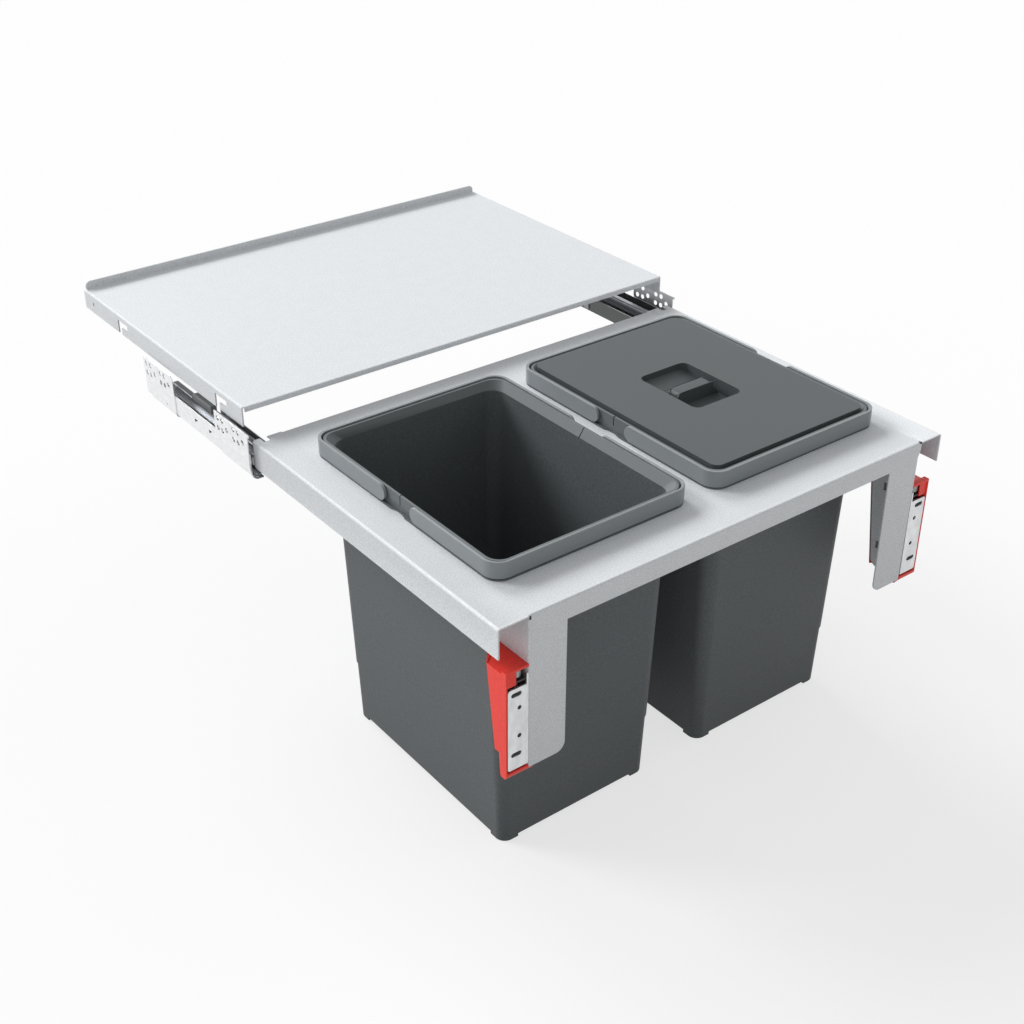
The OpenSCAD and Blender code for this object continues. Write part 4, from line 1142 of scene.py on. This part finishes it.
@dataclass
class BinLid(SubAssembly):
    """The lid of the right bin, with its grip pocket.

    Attributes:
        edge: rounding of the lid's edges.
        grip_x, grip_y, grip_w: the grip's middle, its front and rear, and its width.
        grip_top: height of its top.
        grip_edge, grip_steps: rounding of its upper edges, and steps across it.
        grip_near, grip_drop: how near its sides and its top those edges lie.
    """

    edge: float = 0.7
    grip_x: float = 122.9
    grip_y: tuple[float, float] = (-188.0, -173.0)
    grip_w: float = 49.0
    grip_top: float = 20.0
    grip_edge: float = 1.3
    grip_steps: int = 3
    grip_near: float = 0.5
    grip_drop: float = 0.2

    def on_grip(self, middle: Vector, way: Vector) -> bool:
        """Whether an edge lies round the grip's top.

        Args:
            middle: the edge's middle in millimetres.
            way: its direction.

        Returns:
            True if it does.
        """
        near = self.grip_near
        return (abs(middle.x - self.grip_x) < self.grip_w / 2 + near
                and self.grip_y[0] - near < middle.y < self.grip_y[1] + near
                and middle.z > self.grip_top - self.grip_drop and abs(way.z) < ASIDE)

    def build(self) -> None:
        """Builds the lid, its grip's top rounded first."""
        lid = Bench.recast("right_bin_lid", "right_bin_lid_moulding")
        count = Bench.round_edges(lid, self.grip_edge, self.grip_steps, self.on_grip)
        LOG.info("grip: %d edges rounded", count)
        Bench.soften(lid, self.edge)
        self.dress(lid, "lid", LID_GREY, "right_bin_lid")


# Studio


@dataclass(frozen=True)
class Lamp:
    """A broad, distant lamp.

    Attributes:
        name: the lamp's name.
        level: share of full white that it gives a surface facing it.
        origin: direction that its light comes from.
        width: its width in degrees, which softens its shadows.
    """

    name: str
    level: float
    origin: tuple[float, float, float]
    width: float

    def hang(self) -> None:
        """Hangs the lamp in the scene."""
        light = bpy.data.lights.new(self.name, "SUN")
        light.energy = self.level * math.pi
        light.angle = math.radians(self.width)
        lamp = bpy.data.objects.new(self.name, light)
        bpy.context.scene.collection.objects.link(lamp)
        lamp.rotation_euler = Vector(self.origin).to_track_quat("Z", "Y").to_euler()


@dataclass
class Studio:
    """Floor, light and camera.

    Attributes:
        sky: brightness of the room above the floor, as diffuse surfaces see it.
        bounce, bounce_under: light that the open floor and the floor under the object
            give back to diffuse surfaces.
        open_from, open_to: distances from the object's middle between which the floor
            goes from one to the other, in metres.
        shadow: how strongly the object's shadow shows on the floor.
        lamps: the lamps that light the object.
        floor_z, floor_r, floor_sides: the floor's height, radius in metres and corners.
        paint, paint_rough: lightness and roughness of the paint that takes the shadow.
        lens, sensor: focal length and width of the sensor in millimetres.
        eye, clip: the camera's place, and the nearest and furthest that it sees, in metres.
        tilt, turn: its downward angle, and its angle about Z, in degrees.
    """

    sky: float = 0.36
    bounce: float = 0.76
    bounce_under: float = 0.08
    open_from: float = 0.36
    open_to: float = 0.95
    shadow: float = 0.32
    lamps: tuple[Lamp, ...] = (
        Lamp("key_left", 0.52, (-0.48, 0.70, 0.53), 24),
        Lamp("key_back", 0.52, (0.04, 0.85, 0.53), 24),
        Lamp("right_fill", 0.12, (0.85, -0.05, 0.52), 50),
        Lamp("left_fill", 0.06, (-0.93, -0.12, 0.34), 36),
    )
    floor_z: float = -317.5
    floor_r: float = 12.0
    floor_sides: int = 64
    paint: float = 0.97
    paint_rough: float = 0.9
    lens: float = 53.53
    sensor: float = 36.0
    clip: tuple[float, float] = (0.05, 60.0)
    eye: tuple[float, float, float] = (-0.86865, -1.17868, 0.71137)
    tilt: float = 31.13
    turn: float = -37.36

    @staticmethod
    def seen(tree: bpy.types.NodeTree) -> bpy.types.NodeSocket:
        """1 for rays from the camera and for mirror and glass rays, 0 for diffuse light.

        Args:
            tree: the node tree that needs it.

        Returns:
            The value's socket.
        """
        path = tree.nodes.new("ShaderNodeLightPath").outputs
        level: bpy.types.NodeSocket = path["Is Camera Ray"]
        for other in ("Is Glossy Ray", "Is Transmission Ray"):
            most = tree.nodes.new("ShaderNodeMath")
            most.operation = "MAXIMUM"
            tree.links.new(level, most.inputs[0])
            tree.links.new(path[other], most.inputs[1])
            level = most.outputs[0]
        return level

    def build_world(self) -> None:
        """A room that looks white and lights the object evenly."""
        world = bpy.data.worlds.new("pale_room")
        bpy.context.scene.world = world
        world.use_nodes = True
        tree = world.node_tree
        strength = tree.nodes.new("ShaderNodeMath")
        strength.operation = "MULTIPLY_ADD"
        tree.links.new(self.seen(tree), strength.inputs[0])
        strength.inputs[1].default_value = 1 - self.sky
        strength.inputs[2].default_value = self.sky
        background = tree.nodes["Background"]
        background.inputs["Color"].default_value = (1, 1, 1, 1)
        tree.links.new(strength.outputs[0], background.inputs["Strength"])

    def build_floor(self) -> None:
        """A white floor that keeps a soft shadow and gives back light, less under the object."""
        Bench.clear()
        bpy.ops.mesh.primitive_circle_add(vertices=self.floor_sides, radius=self.floor_r,
                                          fill_type="NGON", location=(0, 0, self.floor_z * MM))
        floor = bpy.context.object
        floor.name = "studio_floor"
        bpy.ops.object.transform_apply()
        tree = Tree("floor_paint")
        tree.surface.inputs["Base Color"].default_value = (self.paint, self.paint, self.paint, 1)
        tree.surface.inputs["Roughness"].default_value = self.paint_rough
        tree.surface.inputs["Specular IOR Level"].default_value = 0.0
        white = tree.node("ShaderNodeEmission", Strength=1.0)
        flat = tree.node("ShaderNodeVectorMath")
        flat.operation = "MULTIPLY"
        tree.feed(flat, 0, tree.place)
        tree.feed(flat, 1, (1, 1, 0))
        reach = tree.node("ShaderNodeVectorMath")
        reach.operation = "LENGTH"
        tree.feed(reach, 0, flat.outputs[0])
        opening = tree.node("ShaderNodeMapRange", Value=reach.outputs["Value"],
                            From_Min=self.open_from, From_Max=self.open_to,
                            To_Min=self.bounce_under, To_Max=self.bounce)
        even = tree.node("ShaderNodeEmission", Strength=opening.outputs[0])
        shown = tree.node("ShaderNodeMixShader", Fac=self.shadow)
        tree.links.new(white.outputs[0], shown.inputs[1])
        tree.links.new(tree.surface.outputs[0], shown.inputs[2])
        paint = tree.node("ShaderNodeMixShader", Fac=self.seen(tree.material.node_tree))
        tree.links.new(even.outputs[0], paint.inputs[1])
        tree.links.new(shown.outputs[0], paint.inputs[2])
        tree.links.new(paint.outputs[0], tree.nodes["Material Output"].inputs["Surface"])
        floor.data.materials.append(tree.material)

    def build_camera(self) -> None:
        """The camera, at the photograph's viewing angle."""
        view = bpy.data.cameras.new("camera")
        view.lens = self.lens
        view.sensor_width = self.sensor
        view.clip_start, view.clip_end = self.clip
        camera = bpy.data.objects.new("camera", view)
        bpy.context.scene.collection.objects.link(camera)
        camera.location = self.eye
        pitch, turn = math.radians(90 - self.tilt), math.radians(self.turn)
        camera.rotation_euler = Euler((pitch, 0, turn))
        bpy.context.scene.camera = camera

    def build(self) -> None:
        """Builds the whole studio."""
        self.build_world()
        self.build_floor()
        for lamp in self.lamps:
            lamp.hang()
        self.build_camera()
        bpy.context.scene.view_settings.view_transform = "Standard"


def main() -> None:
    """Builds the studio and the sub-assemblies in order."""
    logging.basicConfig(level=logging.INFO, format="%(message)s")
    Studio().build()
    assemblies: list[SubAssembly] = [FixedShelf(), SlidingFrame()]
    for side in Side:
        assemblies += [Runner(side=side), DoorAdjuster(side=side), WasteBin(side=side)]
    assemblies.append(BinLid())
    for assembly in assemblies:
        assembly.build()
        LOG.info("%s: %d pieces", type(assembly).__name__, len(assembly.pieces))
    Bench.clear()


if __name__ == "__main__":
    main()
